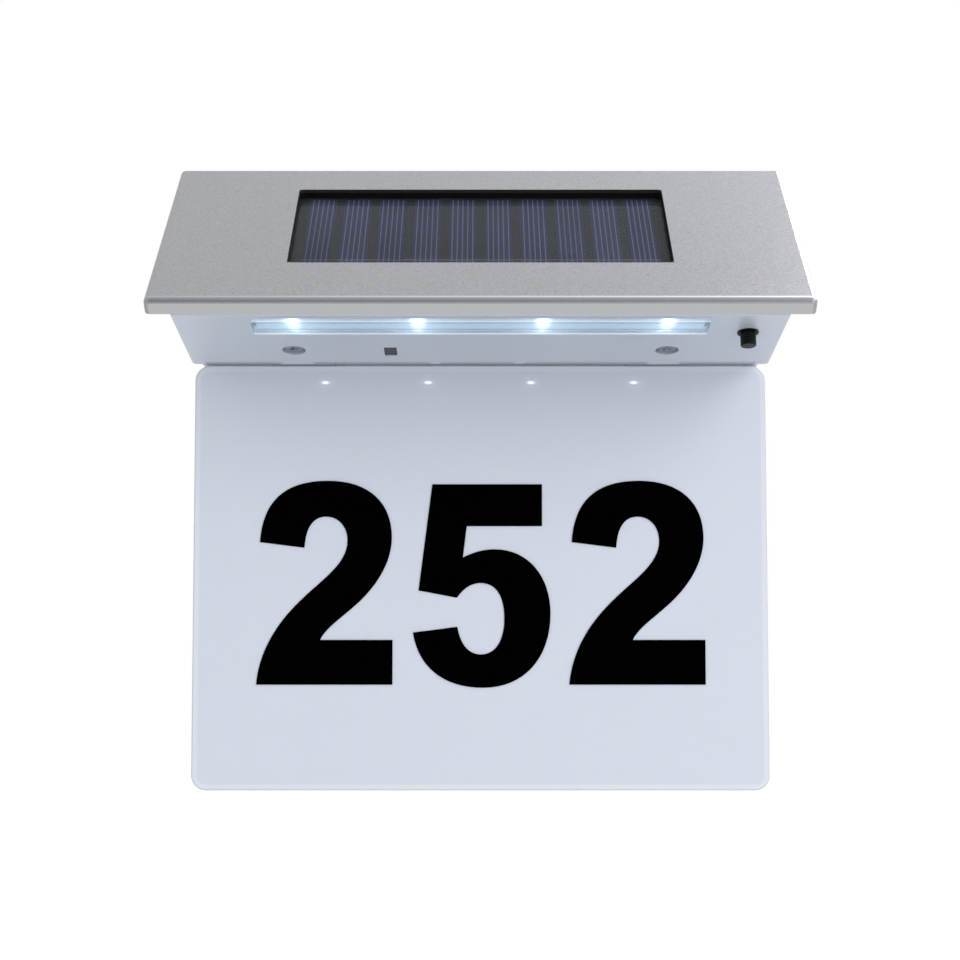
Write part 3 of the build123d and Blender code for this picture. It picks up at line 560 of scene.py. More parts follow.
@dataclass(frozen=True)
class FoldedSheetPaint(MetallicPaint):
    """Cover paint with painted shade on the window's cut edge, and painted light and shade at the
    fold.
    """

    window_edge_shade: Tone = (0.030, 0.032, 0.034)
    fold_highlight: Tone = (0.72, 0.725, 0.745)
    shaded: Tone = (0.24, 0.243, 0.26)
    lip: Tone = (0.46, 0.465, 0.485)
    top: Point = (-0.0084, 0.0319)
    window_half_width: float = 0.05776
    window: Point = (0.01429, 0.06081)
    fold_start: float = 0.0804

    def coat(self, made: Coating, effects: Effects) -> None:
        """Wire the surface."""
        super().coat(made, effects)
        zones = made.use(
            effects.roof_zones,
            Slope_Sine=math.sin(ROOF_SLOPE),
            Slope_Cosine=math.cos(ROOF_SLOPE),
            Top_Y=self.top[0],
            Top_Z=self.top[1],
            Window_Half_Width=self.window_half_width,
            Window_Start=self.window[0],
            Window_End=self.window[1],
            Fold_Start=self.fold_start,
        )
        # painted floor light on the lip, which faces down towards the floor
        made.tint(zones["Lip"], self.lip)
        # painted highlight of the key light along the fold
        made.tint(zones["Fold"], self.fold_highlight)
        # painted dark reflection in a speckled band below the fold
        made.tint(zones["Shade"], self.shaded)
        # painted shade on the cut edge in the window, nearly black
        made.tint(zones["Window"], self.window_edge_shade)


@dataclass(frozen=True)
class MouldedPlastic(Finish):
    """Plain moulded plastic or rubber with a fine grain."""

    colour: Tone
    roughness: float = 0.5
    metallic: float = 0.0
    grain_scale: float = 1800.0
    relief: float = 0.00001
    tone_change: float = 0.08
    specular: float = 0.5

    def coat(self, made: Coating, effects: Effects) -> None:
        """Wire the surface."""
        grain = made.use(
            effects.grain,
            Colour=self.colour,
            Grain_Scale=self.grain_scale,
            Tone_Change=self.tone_change,
        )
        made.set(
            Base_Color=grain["Colour"],
            Roughness=self.roughness,
            Metallic=self.metallic,
            Specular_IOR_Level=self.specular,
        )
        made.bump(grain["Height"], self.relief, 0.7)


@dataclass(frozen=True)
class PanelLaminate(MouldedPlastic):
    """The laminate behind the cells, with the collecting strip along its low edge."""

    strip: Tone = (0.16, 0.16, 0.22)

    def coat(self, made: Coating, effects: Effects) -> None:
        """Wire the surface."""
        super().coat(made, effects)
        made.tint(made.use(effects.fingers)["Bus"], self.strip)


@dataclass(frozen=True)
class BareMetal(Finish):
    """Bright metal with fine lines."""

    colour: Tone
    roughness: float = 0.25
    line_scale: float = 1500.0

    def coat(self, made: Coating, effects: Effects) -> None:
        """Wire the surface."""
        lines = made.use(
            effects.brushed,
            Colour=self.colour,
            Base_Roughness=self.roughness,
            Line_Scale=self.line_scale,
        )
        made.set(Base_Color=lines["Colour"], Metallic=1.0, Roughness=lines["Roughness"])
        made.bump(lines["Height"], 0.00001, 0.5)


@dataclass(frozen=True)
class MilkyAcrylic(Finish):
    """The number plate: polished milky acrylic, with painted light inside its rim and painted
    shade at its edge.
    """

    face: Tone
    rim: Tone
    edge: Tone
    half_width: float
    half_height: float
    middle_z: float
    corner: float
    band: float = 0.0022
    roughness: float = 0.045
    glint_tone: Tone = (0.93, 0.97, 1.0)
    glint_pitch: float = 0.03338
    glint_level: float = -0.0378
    glint_centre: float = -0.0003
    glint_front: float = -0.0053
    wide_share: float = 0.05

    def coat(self, made: Coating, effects: Effects) -> None:
        """Wire the surface."""
        rim = made.use(
            effects.rounded_rim,
            Middle=self.middle_z,
            Half_Width=self.half_width,
            Half_Height=self.half_height,
            Corner=self.corner,
            Band=self.band,
        )
        grain = made.use(effects.grain, Colour=self.face, Grain_Scale=90.0, Tone_Change=0.03)
        smears = made.use(effects.smudge, Base=self.roughness, Amount=0.03)
        # painted glints: the lamps' reflections, as emission on the plate
        small = self.glints(made, effects, 0.0010, 2.6)
        wide = self.glints(made, effects, 0.0030, 1.6)
        made.set(
            Base_Color=grain["Colour"],
            Roughness=smears["Roughness"],
            IOR=ACRYLIC_IOR,
            Subsurface_Weight=0.12,
            Subsurface_Scale=0.002,
            Emission_Color=self.glint_tone,
            Emission_Strength=wide * self.wide_share + small,
        )
        # painted light in a band just inside the rim, and painted shade along the very edge
        made.tint(rim["Rim"], self.rim)
        made.tint(rim["Edge"], self.edge)
        made.bump(smears["Height"], 0.00001, 0.15)

    def glints(self, made: Coating, effects: Effects, radius: float, flatness: float) -> Value:
        """Place the four painted glints, reflections of the lamps, near the plate's top.

        Args:
            made: the material under construction.
            effects: the shared effects.
            radius: the points' radius.
            flatness: how much wider than high they are.

        Returns:
            The row, cut off beyond the four points.
        """
        row = made.use(
            effects.halos,
            Pitch=self.glint_pitch,
            Centre=self.glint_centre,
            Radius=radius,
            Flatness=flatness,
            Level=self.glint_level,
            Front=self.glint_front,
        )
        reach = 2.0 * self.glint_pitch
        return row["Halo"] * made.use(effects.bands, Start=-reach, Stop=reach)["Ring"]


@dataclass(frozen=True)
class ThinGlaze(Finish):
    """A clear sheet: light passes straight through, sight is bent, and its faces shine."""

    colour: Tone
    ior: float
    bend_ior: float = 1.5
    roughness: float = 0.03

    def coat(self, made: Coating, effects: Effects) -> None:
        """Wire the surface."""
        made.tree.nodes.remove(made.shader)
        smears = made.use(effects.smudge, Base=self.roughness, Amount=0.03)
        shine = made.node("BsdfAnisotropic", {"Roughness": smears["Roughness"]})[0]
        clear = made.node("BsdfTransparent", {"Color": self.colour})[0]
        inputs = {"Color": self.colour, "Roughness": 0.0, "IOR": self.bend_ior}
        bent = made.node("BsdfRefraction", inputs)[0]
        inner = made.mixed(made.rays("Is Camera Ray"), clear, bent)
        made.show(made.mixed(made.node("Fresnel", {"IOR": self.ior})[0], inner, shine))


@dataclass(frozen=True)
class GlowingWindow(Finish):
    """The clear window of the light strip, with a faint painted glow, painted lamp halos and a
    painted bright rim.
    """

    glow: Tone
    glow_strength: float
    halo_strength: float
    haze: float
    rim_haze: float = 0.38
    facing_ior: float = 1.3
    body: Tone = (0.52, 0.68, 0.80)
    groove: Tone = (0.20, 0.32, 0.42)
    rim: Tone = (0.90, 0.97, 1.0)
    through: Tone = (0.95, 0.98, 1.0)
    pitch: float = 0.03676
    half_width: float = 0.069
    half_length: float = 0.0056
    middle: float = 0.05021
    corner: float = 0.0012
    rim_bands: Point = (0.0017, 0.0031)
    lamp_level: float = -0.0288
    core_flatness: float = 2.4
    core: Point = (0.0017, 2.6)
    spreads: tuple[Point, ...] = ((0.0065, 0.26), (0.0140, 0.08))

    def halo(self, made: Coating, effects: Effects, radius: float, flatness: float) -> Value:
        """Place the row of painted halos of the lamps.

        Args:
            made: the material under construction.
            effects: the shared effects.
            radius: the halos' radius.
            flatness: how much wider than high they are, or 0 for upright stripes.

        Returns:
            The row.
        """
        return made.use(
            effects.halos,
            Pitch=self.pitch,
            Radius=radius,
            Flatness=flatness,
            Level=self.lamp_level,
        )["Halo"]

    def coat(self, made: Coating, effects: Effects) -> None:
        """Wire the surface."""
        smears = made.use(effects.smudge, Base=0.06, Amount=0.06)
        outer, inner = (
            made.use(
                effects.rounded_rim,
                Y_Share=-math.cos(BOTTOM_SLOPE),
                Z_Share=math.sin(BOTTOM_SLOPE),
                Middle=self.middle,
                Half_Width=self.half_width,
                Half_Height=self.half_length,
                Corner=self.corner,
                Band=band,
            )["Rim"]
            for band in self.rim_bands
        )
        # painted halos round the lamps over a faint painted glow, as emission on the window
        radius, share = self.core
        core = self.halo(made, effects, radius, self.core_flatness)
        total = core * (self.halo_strength * share) + self.glow_strength
        for radius, share in self.spreads:
            stripes = self.halo(made, effects, radius, 0.0)
            total = stripes * (self.halo_strength * share) + total
        made.set(
            Base_Color=made.blend(inner - outer, self.body, self.groove),
            Roughness=smears["Roughness"],
            IOR=ACRYLIC_IOR,
            Emission_Color=self.glow,
            Emission_Strength=total,
        )
        # painted highlight round the window's outer rim
        made.tint(outer, self.rim)
        made.bump(smears["Height"], 0.00002, 0.3)
        # how much of the window's own surface shows, and only to the camera
        facing = made.node("Fresnel", {"IOR": self.facing_ior})[0]
        seen = inner * self.rim_haze + (facing + self.haze) + core
        clear = made.node("BsdfTransparent", {"Color": self.through})[0]
        made.show(made.mixed(seen * made.rays("Is Camera Ray"), clear, made.surface))


@dataclass(frozen=True)
class SiliconCell(Finish):
    """Dark blue solar cells with thin printed lines.

    Shadows pass through, so that the cells' undersides, which lie on the next layer,
    are as bright as their tops wherever the renderer meets them first.
    """

    colour: Tone
    second: Tone
    line: Tone

    def coat(self, made: Coating, effects: Effects) -> None:
        """Wire the surface."""
        fingers = made.use(effects.fingers)
        made.set(
            Base_Color=made.blend(fingers["Cell Tone"], self.colour, self.second),
            Roughness=0.35,
            Metallic=0.1,
            Specular_IOR_Level=0.3,
        )
        made.tint(fingers["Finger"], self.line)
        made.bump(fingers["Sparkle"], 0.000002, 0.3)
        clear = made.node("BsdfTransparent")[0]
        made.show(made.mixed(made.rays("Is Shadow Ray"), made.surface, clear))


@dataclass(frozen=True)
class LitEpoxy(Finish):
    """The clear body of a lit lamp."""

    colour: Tone
    strength: float

    def coat(self, made: Coating, effects: Effects) -> None:
        """Wire the surface."""
        grain = made.use(effects.grain, Colour=self.colour, Grain_Scale=300.0, Tone_Change=0.02)
        made.set(
            Base_Color=grain["Colour"],
            Emission_Color=grain["Colour"],
            Emission_Strength=self.strength,
            Roughness=0.15,
        )


@dataclass(frozen=True)
class CircuitBoard(Finish):
    """Lacquered laminate with copper runs under the lacquer."""

    colour: Tone
    track: Tone

    def coat(self, made: Coating, effects: Effects) -> None:
        """Wire the surface."""
        grain = made.use(effects.grain, Colour=self.colour, Grain_Scale=900.0)
        track = made.use(effects.tracks)["Track"]
        made.set(Base_Color=grain["Colour"], Roughness=0.3)
        made.tint(track, self.track)
        made.bump(track, 0.00003, 0.5)


@dataclass(frozen=True)
class CellSleeve(Finish):
    """The shrink sleeve of a dry cell with one ring of another tone."""

    colour: Tone
    ring: Tone
    ring_start: float
    ring_stop: float

    def coat(self, made: Coating, effects: Effects) -> None:
        """Wire the surface."""
        grain = made.use(effects.grain, Colour=self.colour, Grain_Scale=400.0)
        made.set(Base_Color=grain["Colour"], Roughness=0.25)
        ring = made.use(effects.bands, Start=self.ring_start, Stop=self.ring_stop)["Ring"]
        made.tint(ring, self.ring)
        made.bump(grain["Height"], 0.00001, 0.4)


# ---------------------------------------------------------------- modelling by hand
class Bench:
    """Keeps the selection in order while a piece is modelled."""

    @staticmethod
    def clear() -> None:
        """Leave edit mode and select nothing."""
        if bpy.context.object and bpy.context.object.mode != "OBJECT":
            bpy.ops.object.mode_set(mode="OBJECT")
        bpy.ops.object.select_all(action="DESELECT")

    @classmethod
    def hold(cls, piece: bpy.types.Object) -> bpy.types.Object:
        """Select one piece alone and make it the active one."""
        cls.clear()
        piece.select_set(True)
        bpy.context.view_layer.objects.active = piece
        return piece

    @classmethod
    def pick_faces(cls, piece: bpy.types.Object, test: Callable[[Vector, Vector], bool]) -> None:
        """Select faces by place and normal, and stay in edit mode.

        Args:
            piece: the piece.
            test: says for a face's centre and normal whether it is picked.
        """
        cls.hold(piece)
        bpy.ops.object.mode_set(mode="EDIT")
        bpy.ops.mesh.select_mode(type="FACE")
        bpy.ops.mesh.select_all(action="DESELECT")
        bpy.ops.object.mode_set(mode="OBJECT")
        for face in piece.data.polygons:
            face.select = test(face.center, face.normal)
        bpy.ops.object.mode_set(mode="EDIT")

    @classmethod
    def change(cls, piece: bpy.types.Object, kind: str, **settings: Any) -> None:
        """Add a modifier and apply it.

        Args:
            piece: the piece.
            kind: the modifier's type.
            settings: its attributes.
        """
        cls.hold(piece)
        modifier = piece.modifiers.new(kind.lower(), kind)
        for key, value in settings.items():
            setattr(modifier, key, value)
        bpy.ops.object.modifier_apply(modifier=modifier.name)

    @classmethod
    def settle(cls, piece: bpy.types.Object, place: Matrix) -> None:
        """Move a piece's mesh to its place and leave its object at the origin."""
        cls.hold(piece)
        piece.matrix_world = place
        bpy.ops.object.transform_apply(location=True, rotation=True, scale=True)

    @staticmethod
    def own_copy(piece: bpy.types.Object, name: str) -> bpy.types.Object:
        """Return a copy with its own mesh."""
        made = piece.copy()
        made.data = piece.data.copy()
        made.name = name
        bpy.context.scene.collection.objects.link(made)
        return made

    @classmethod
    def solid_curve(cls, name: str, curve: bpy.types.Curve) -> bpy.types.Object:
        """Turn a curve into a meshed piece of the same name, and hold it."""
        made = bpy.data.objects.new(name, curve)
        bpy.context.scene.collection.objects.link(made)
        cls.hold(made)
        bpy.ops.object.convert(target="MESH")
        return cls.hold(bpy.context.object)


def dress(piece: bpy.types.Object, material: bpy.types.Material) -> None:
    """Give a piece one material in every slot.

    Args:
        piece: the piece or the CAD node's object.
        material: its finish.
    """
    if not piece.material_slots:
        piece.data.materials.append(material)
    for place in piece.material_slots:
        place.material = material


# ------------------------------------------------------------------ sub-assemblies
@dataclass
class Assembly(ABC):
    """A part of the sign, and the effects that its finishes share."""

    effects: Effects

    def wear(self, finish: Finish, *names: str) -> bpy.types.Material:
        """Build a finish and give it to CAD nodes.

        Args:
            finish: the finish.
            names: the nodes.

        Returns:
            The finish's material.
        """
        material = finish.build(self.effects)
        for name in names:
            dress(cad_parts[name], material)
            LOG.info("dressed %s in %s", name, material.name)
        return material

    @abstractmethod
    def build(self) -> None:
        """Dress the assembly's nodes and model its pieces."""


@dataclass
class SlopedRoof(Assembly):
    """The sheet cover with its solar panel."""

    paint: FoldedSheetPaint = FoldedSheetPaint(
        "cover_paint", (0.318, 0.320, 0.340), 0.60, 0.34, 0.12, 0.55, 1500.0
    )
    glass: ThinGlaze = ThinGlaze("panel_glass", (0.95, 0.965, 0.98), 1.16)
    cells: SiliconCell = SiliconCell(
        "silicon", (0.040, 0.048, 0.096), (0.047, 0.055, 0.104), (0.17, 0.18, 0.27)
    )
    backing: PanelLaminate = PanelLaminate(
        "panel_backing", (0.044, 0.047, 0.047), 0.55, relief=0.000001, specular=0.2
    )
    gasket: MouldedPlastic = MouldedPlastic(
        "soft_seal", (0.003, 0.003, 0.003), 0.6, relief=0.000005, specular=0.08
    )

    def build(self) -> None:
        """Dress the cover, the panel's layers and the seals."""
        self.wear(self.paint, "top_cover")
        self.wear(self.glass, "solar_glass")
        self.wear(self.cells, "solar_cells")
        self.wear(self.backing, "solar_backing")
        self.wear(self.gasket, "window_gasket", "cover_seal")


@dataclass
class WedgeHousing(Assembly):
    """The frame of the wedge with its bottom cover and back plate."""

    shell: MetallicPaint = MetallicPaint(
        "housing_silver", (0.550, 0.590, 0.660), 0.35, 0.42, 0.1, 0.05, 1500.0, 0.00001
    )
    # a darker copy of the housing's silver: painted shade for the rail seen through the slots
    inner: MetallicPaint = MetallicPaint(
        "frame_silver", (0.465, 0.505, 0.590), 0.35, 0.45, 0.1, 0.05, 1500.0, 0.00001
    )
    rear: MouldedPlastic = MouldedPlastic("rear_grey", (0.30, 0.31, 0.33), 0.55, 0.15, 900.0)

    def build(self) -> None:
        """Dress the mouldings."""
        self.wear(self.shell, "bottom_cover")
        self.wear(self.inner, "housing_frame")
        self.wear(self.rear, "back_plate")


@dataclass
class LightStrip(Assembly):
    """Four lamps on a board behind a clear window."""

    window: GlowingWindow = GlowingWindow("strip_window", (0.60, 0.80, 1.0), 0.02, 0.70, 0.16)
    lamps: LitEpoxy = LitEpoxy("lit_lamp", (0.93, 0.97, 1.0), 5.0)
    board: CircuitBoard = CircuitBoard("white_board", (0.25, 0.36, 0.50), (0.20, 0.30, 0.43))

    def build(self) -> None:
        """Dress the window, the lamps and their board."""
        self.wear(self.window, "light_lens")
        self.wear(self.lamps, "leds")
        self.wear(self.board, "led_board")


@dataclass
class PushButton(Assembly):
    """The black push button with its switch."""

    cap: MouldedPlastic = MouldedPlastic(
        "button_black", (0.003, 0.0038, 0.005), 0.30, 0.0, 900.0, specular=0.13
    )
    case: MouldedPlastic = MouldedPlastic(
        "switch_black", (0.004, 0.004, 0.005), 0.4, specular=0.15
    )

    def build(self) -> None:
        """Dress the cap and the black cases."""
        self.wear(self.cap, "button_cap")
        self.wear(self.case, "switch_body", "control_chip", "battery_holder")


@dataclass
class Electronics(Assembly):
    """What works inside the wedge."""

    board: CircuitBoard = CircuitBoard("green_board", (0.02, 0.13, 0.05), (0.05, 0.22, 0.08))
    sleeve: CellSleeve = CellSleeve(
        "cell_sleeve", (0.05, 0.26, 0.12), (0.75, 0.76, 0.74), 0.012, 0.024
    )
    ferrite: MouldedPlastic = MouldedPlastic("ferrite", (0.035, 0.035, 0.038), 0.45)
    smoked: MouldedPlastic = MouldedPlastic(
        "smoked_window", (0.009, 0.010, 0.011), 0.12, 0.0, 500.0, specular=0.27
    )
    wire: MouldedPlastic = MouldedPlastic("wire_sleeve", (0.42, 0.015, 0.012), 0.4)

    def build(self) -> None:
        """Dress the boards, the cell and the small parts."""
        self.wear(self.board, "control_board")
        self.wear(self.sleeve, "battery")
        self.wear(self.ferrite, "boost_coil")
        self.wear(self.smoked, "sensor_window", "light_sensor")
        self.wear(self.wire, "solar_lead", "light_lead", "switch_lead", "battery_lead")


@dataclass(frozen=True)
class ScrewSize:
    """Sizes in millimetres of a pan-head screw with a cross recess."""

    head_radius: float
    head_height: float
    shank_radius: float
    length: float

    @property
    def slot(self) -> Place:
        """Length, width and depth of the block that cuts each slot of the cross."""
        return self.head_radius * 1.15, self.head_radius * 0.26, self.head_height * 1.3

    @property
    def crown(self) -> float:
        """How far the head's upper edge is rounded."""
        return self.head_height * 0.45


@dataclass(frozen=True)
class ReturnSpring:
    """The switch's coil spring, in millimetres."""

    height: float = 5.324
    coil_radius: float = 1.9
    wire_radius: float = 0.25
    turns: int = 5
    steps: int = 24
    travel: float = 1.6
    base: Place = (0.0797, -0.05068, -0.02283)

    def build(self, metal: bpy.types.Material) -> None:
        """Wind the spring, seat it in the switch and fix it to the housing.

        Args:
            metal: its finish.
        """
        curve = bpy.data.curves.new("return_spring", "CURVE")
        curve.dimensions = "3D"
        curve.bevel_depth = self.wire_radius
        curve.bevel_resolution = 2
        curve.use_fill_caps = True
        wire = curve.splines.new("POLY")
        wire.points.add(self.turns * self.steps)
        for count, point in enumerate(wire.points):
            turned = count / self.steps
            point.co = (
                self.coil_radius * math.cos(math.tau * turned),
                self.coil_radius * math.sin(math.tau * turned),
                self.height * turned / self.turns,
                1.0,
            )
        spring = Bench.solid_curve("return_spring", curve)
        base = Vector(self.base)
        Bench.settle(
            spring,
            Matrix.Translation(base)
            @ Matrix.Rotation(-BOTTOM_SLOPE, 4, "X")
            @ Matrix.Scale(MILLIMETRE, 4),
        )
        bpy.ops.object.shade_smooth()
        dress(spring, metal)
        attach(spring, Body.HOUSING.value)
        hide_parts("button_spring")
        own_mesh(spring)
        LOG.info("wound %s", spring.name)


@dataclass
class Fasteners(Assembly):
    """Cross-head screws, the return spring, and the finish of the plain hardware."""

    screw_steel: BareMetal = BareMetal("screw_steel", (0.30, 0.32, 0.37), 0.24, 2600.0)
    painted: MetallicPaint = MetallicPaint(
        "painted_heads", (0.60, 0.65, 0.75), 0.2, 0.45, 0.1, 0.05, 1500.0, 0.00001
    )
    steel: BareMetal = BareMetal("bright_steel", (0.42, 0.43, 0.46), 0.28)
    nickel: BareMetal = BareMetal("nickel", (0.62, 0.61, 0.58), 0.2)
    far_edge: Point = (-0.0244, -0.0352)
    cover_x: float = 0.0572
    cover_seat: Point = (0.0124, 0.0022)
    wall_x: float = 0.085
    wall_y: float = -0.0016
    wall_rows: Point = (-0.021, 0.018)
    holder: Place = (-0.001, -0.0146, -0.0318)
    holder_reach: float = 0.01345
    head_sides: int = 40
    crown_steps: int = 4
    tip_taper: float = 0.3
    slot_taper: float = 0.5
    cross_twist: float = math.radians(9)
    sharp_edge: float = math.radians(35)

    def on_cover(self, x: float, forward: float, above: float) -> Vector:
        """Return a point over the bottom cover.

        Args:
            x: to the right.
            forward: from the cover's far edge towards the viewer.
            above: from its outer face into the wedge.
        """
        ahead = Vector((0.0, -math.cos(BOTTOM_SLOPE), math.sin(BOTTOM_SLOPE)))
        inward = Vector((0.0, math.sin(BOTTOM_SLOPE), math.cos(BOTTOM_SLOPE)))
        return Vector((x, *self.far_edge)) + ahead * forward + inward * above

    def model(self, name: str, size: ScrewSize) -> bpy.types.Object:
        """Model one screw in millimetres, its seat at Z = 0 and its head upwards.

        Args:
            name: the piece's name.
            size: its sizes.

        Returns:
            The screw.
        """
        Bench.clear()
        bpy.ops.mesh.primitive_cylinder_add(
            vertices=self.head_sides,
            radius=size.head_radius,
            depth=size.head_height,
            location=(0, 0, size.head_height / 2),
        )
        screw = bpy.context.object
        screw.name = name
        Bench.settle(screw, screw.matrix_world.copy())
        # the shank grows out of the seat, and ends in a point
        Bench.pick_faces(screw, lambda centre, normal: normal.z < -0.9)
        bpy.ops.mesh.inset(thickness=size.head_radius - size.shank_radius)
        for reach in (size.length - size.shank_radius, size.shank_radius):
            bpy.ops.mesh.extrude_region_move(TRANSFORM_OT_translate={"value": (0, 0, -reach)})
        bpy.ops.transform.resize(value=(self.tip_taper, self.tip_taper, 1.0))
        # the crown of the head
        Bench.pick_faces(screw, lambda centre, normal: normal.z > 0.9 and centre.z > 0.0)
        bpy.ops.mesh.bevel(offset=size.crown, segments=self.crown_steps, affect="EDGES")
        for angle in (0.0, math.pi / 2):
            Bench.clear()
            bpy.ops.mesh.primitive_cube_add(size=1.0)
            slot = bpy.context.object
            Bench.settle(
                slot,
                Matrix.Translation((0, 0, size.head_height))
                @ Matrix.Rotation(angle + self.cross_twist, 4, "Z")
                @ Matrix.Diagonal((*size.slot, 1.0)),
            )
            Bench.pick_faces(slot, lambda centre, normal: normal.z < -0.9)
            bpy.ops.transform.resize(value=(self.slot_taper, self.slot_taper, 1.0))
            Bench.clear()
            Bench.change(screw, "BOOLEAN", operation="DIFFERENCE", solver="EXACT", object=slot)
            bpy.data.objects.remove(slot)
        Bench.hold(screw)
        bpy.ops.object.shade_smooth_by_angle(angle=self.sharp_edge)
        return screw

    def set_of(
        self,
        node: str,
        size: ScrewSize,
        facing: Facing,
        seats: Sequence[Vector],
        metal: bpy.types.Material,
    ) -> None:
        """Model one screw, copy it to each seat and let the set stand for a CAD node.

        Args:
            node: the CAD node that the screws replace.
            size: the screw's sizes.
            facing: where the heads look.
            seats: the middle of each seat.
            metal: the finish.
        """
        first = self.model(f"{node}_1", size)
        others = [
            Bench.own_copy(first, f"{node}_{count}") for count in range(2, len(seats) + 1)
        ]
        turn = Matrix.Rotation(facing.value, 4, "X") @ Matrix.Scale(MILLIMETRE, 4)
        for screw, seat in zip([first, *others], seats):
            Bench.settle(screw, Matrix.Translation(seat) @ turn)
            dress(screw, metal)
            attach(screw, Body.HOUSING.value)
            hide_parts(node)
            LOG.info("modelled %s", screw.name)

    def build(self) -> None:
        """Model the screws and the spring, and dress the hardware inside."""
        metal = self.screw_steel.build(self.effects)
        self.set_of(
            "bottom_screws",
            ScrewSize(3.3, 1.8, 1.45, 11.0),
            Facing.BOTTOM_COVER,
            [self.on_cover(x, *self.cover_seat) for x in (-self.cover_x, self.cover_x)],
            metal,
        )
        self.set_of(
            "back_screws",
            ScrewSize(2.8, 1.45, 1.45, 8.0),
            Facing.WALL,
            [
                Vector((x, self.wall_y, z))
                for x in (-self.wall_x, self.wall_x)
                for z in self.wall_rows
            ],
            metal,
        )
        self.set_of(
            "holder_screws",
            ScrewSize(1.9, 1.2, 1.0, 3.6),
            Facing.GROUND,
            [
                Vector((self.holder[0] + x, *self.holder[1:]))
                for x in (-self.holder_reach, self.holder_reach)
            ],
            self.painted.build(self.effects),
        )
        plain = self.wear(
            self.steel,
            "panel_clamps",
            "clamp_nuts",
            "cover_nuts",
            "led_board_screws",
            "control_board_screws",
            "switch_nut",
        )
        ReturnSpring().build(plain)
        self.wear(self.nickel, "battery_contacts")


class Digit(Enum):
    """The stick-on digits, as outlines in millimetres over their base line.

    An outline is a start, then straight runs of one point and bends of three: two
    handles and the end.
    """

    TWO = (
        ((0.90, 45.87),),
        ((1.71, 58.46), (7.98, 65.72), (22.70, 65.72)),
        ((36.23, 65.72), (43.40, 58.46), (43.40, 47.30)),
        ((43.40, 39.22), (38.37, 31.15), (31.10, 24.93)),
        ((26.97, 21.27), (22.22, 18.09), (20.37, 14.29)),
        ((43.74, 14.29),),
        ((43.74, 0.00),),
        ((0.00, 0.00),),
        ((0.85, 10.26), (6.08, 19.28), (13.96, 26.88)),
        ((20.80, 33.67), (29.16, 38.75), (29.16, 46.30)),
        ((29.16, 50.86), (26.12, 54.14), (22.22, 54.14)),
        ((17.95, 54.14), (15.58, 50.62), (15.20, 44.07)),
    )
    FIVE = (
        ((6.13, 64.58),),
        ((41.55, 64.58),),
        ((41.55, 51.05),),
        ((17.24, 51.05),),
        ((15.96, 40.84),),
        ((19.38, 42.55), (22.70, 43.50), (26.26, 43.50)),
        ((37.42, 43.50), (44.21, 34.48), (44.21, 22.84)),
        ((44.21, 8.36), (35.52, -1.00), (22.51, -1.00)),
        ((9.17, -1.00), (1.57, 6.22), (0.00, 16.67)),
        ((14.20, 18.52),),
        ((15.10, 13.11), (17.71, 9.64), (21.84, 9.64)),
        ((26.50, 9.64), (29.40, 14.06), (29.40, 21.18)),
        ((29.40, 29.25), (26.26, 32.67), (21.70, 32.67)),
        ((18.43, 32.67), (15.81, 30.44), (14.10, 27.92)),
        ((1.76, 30.25),),
    )


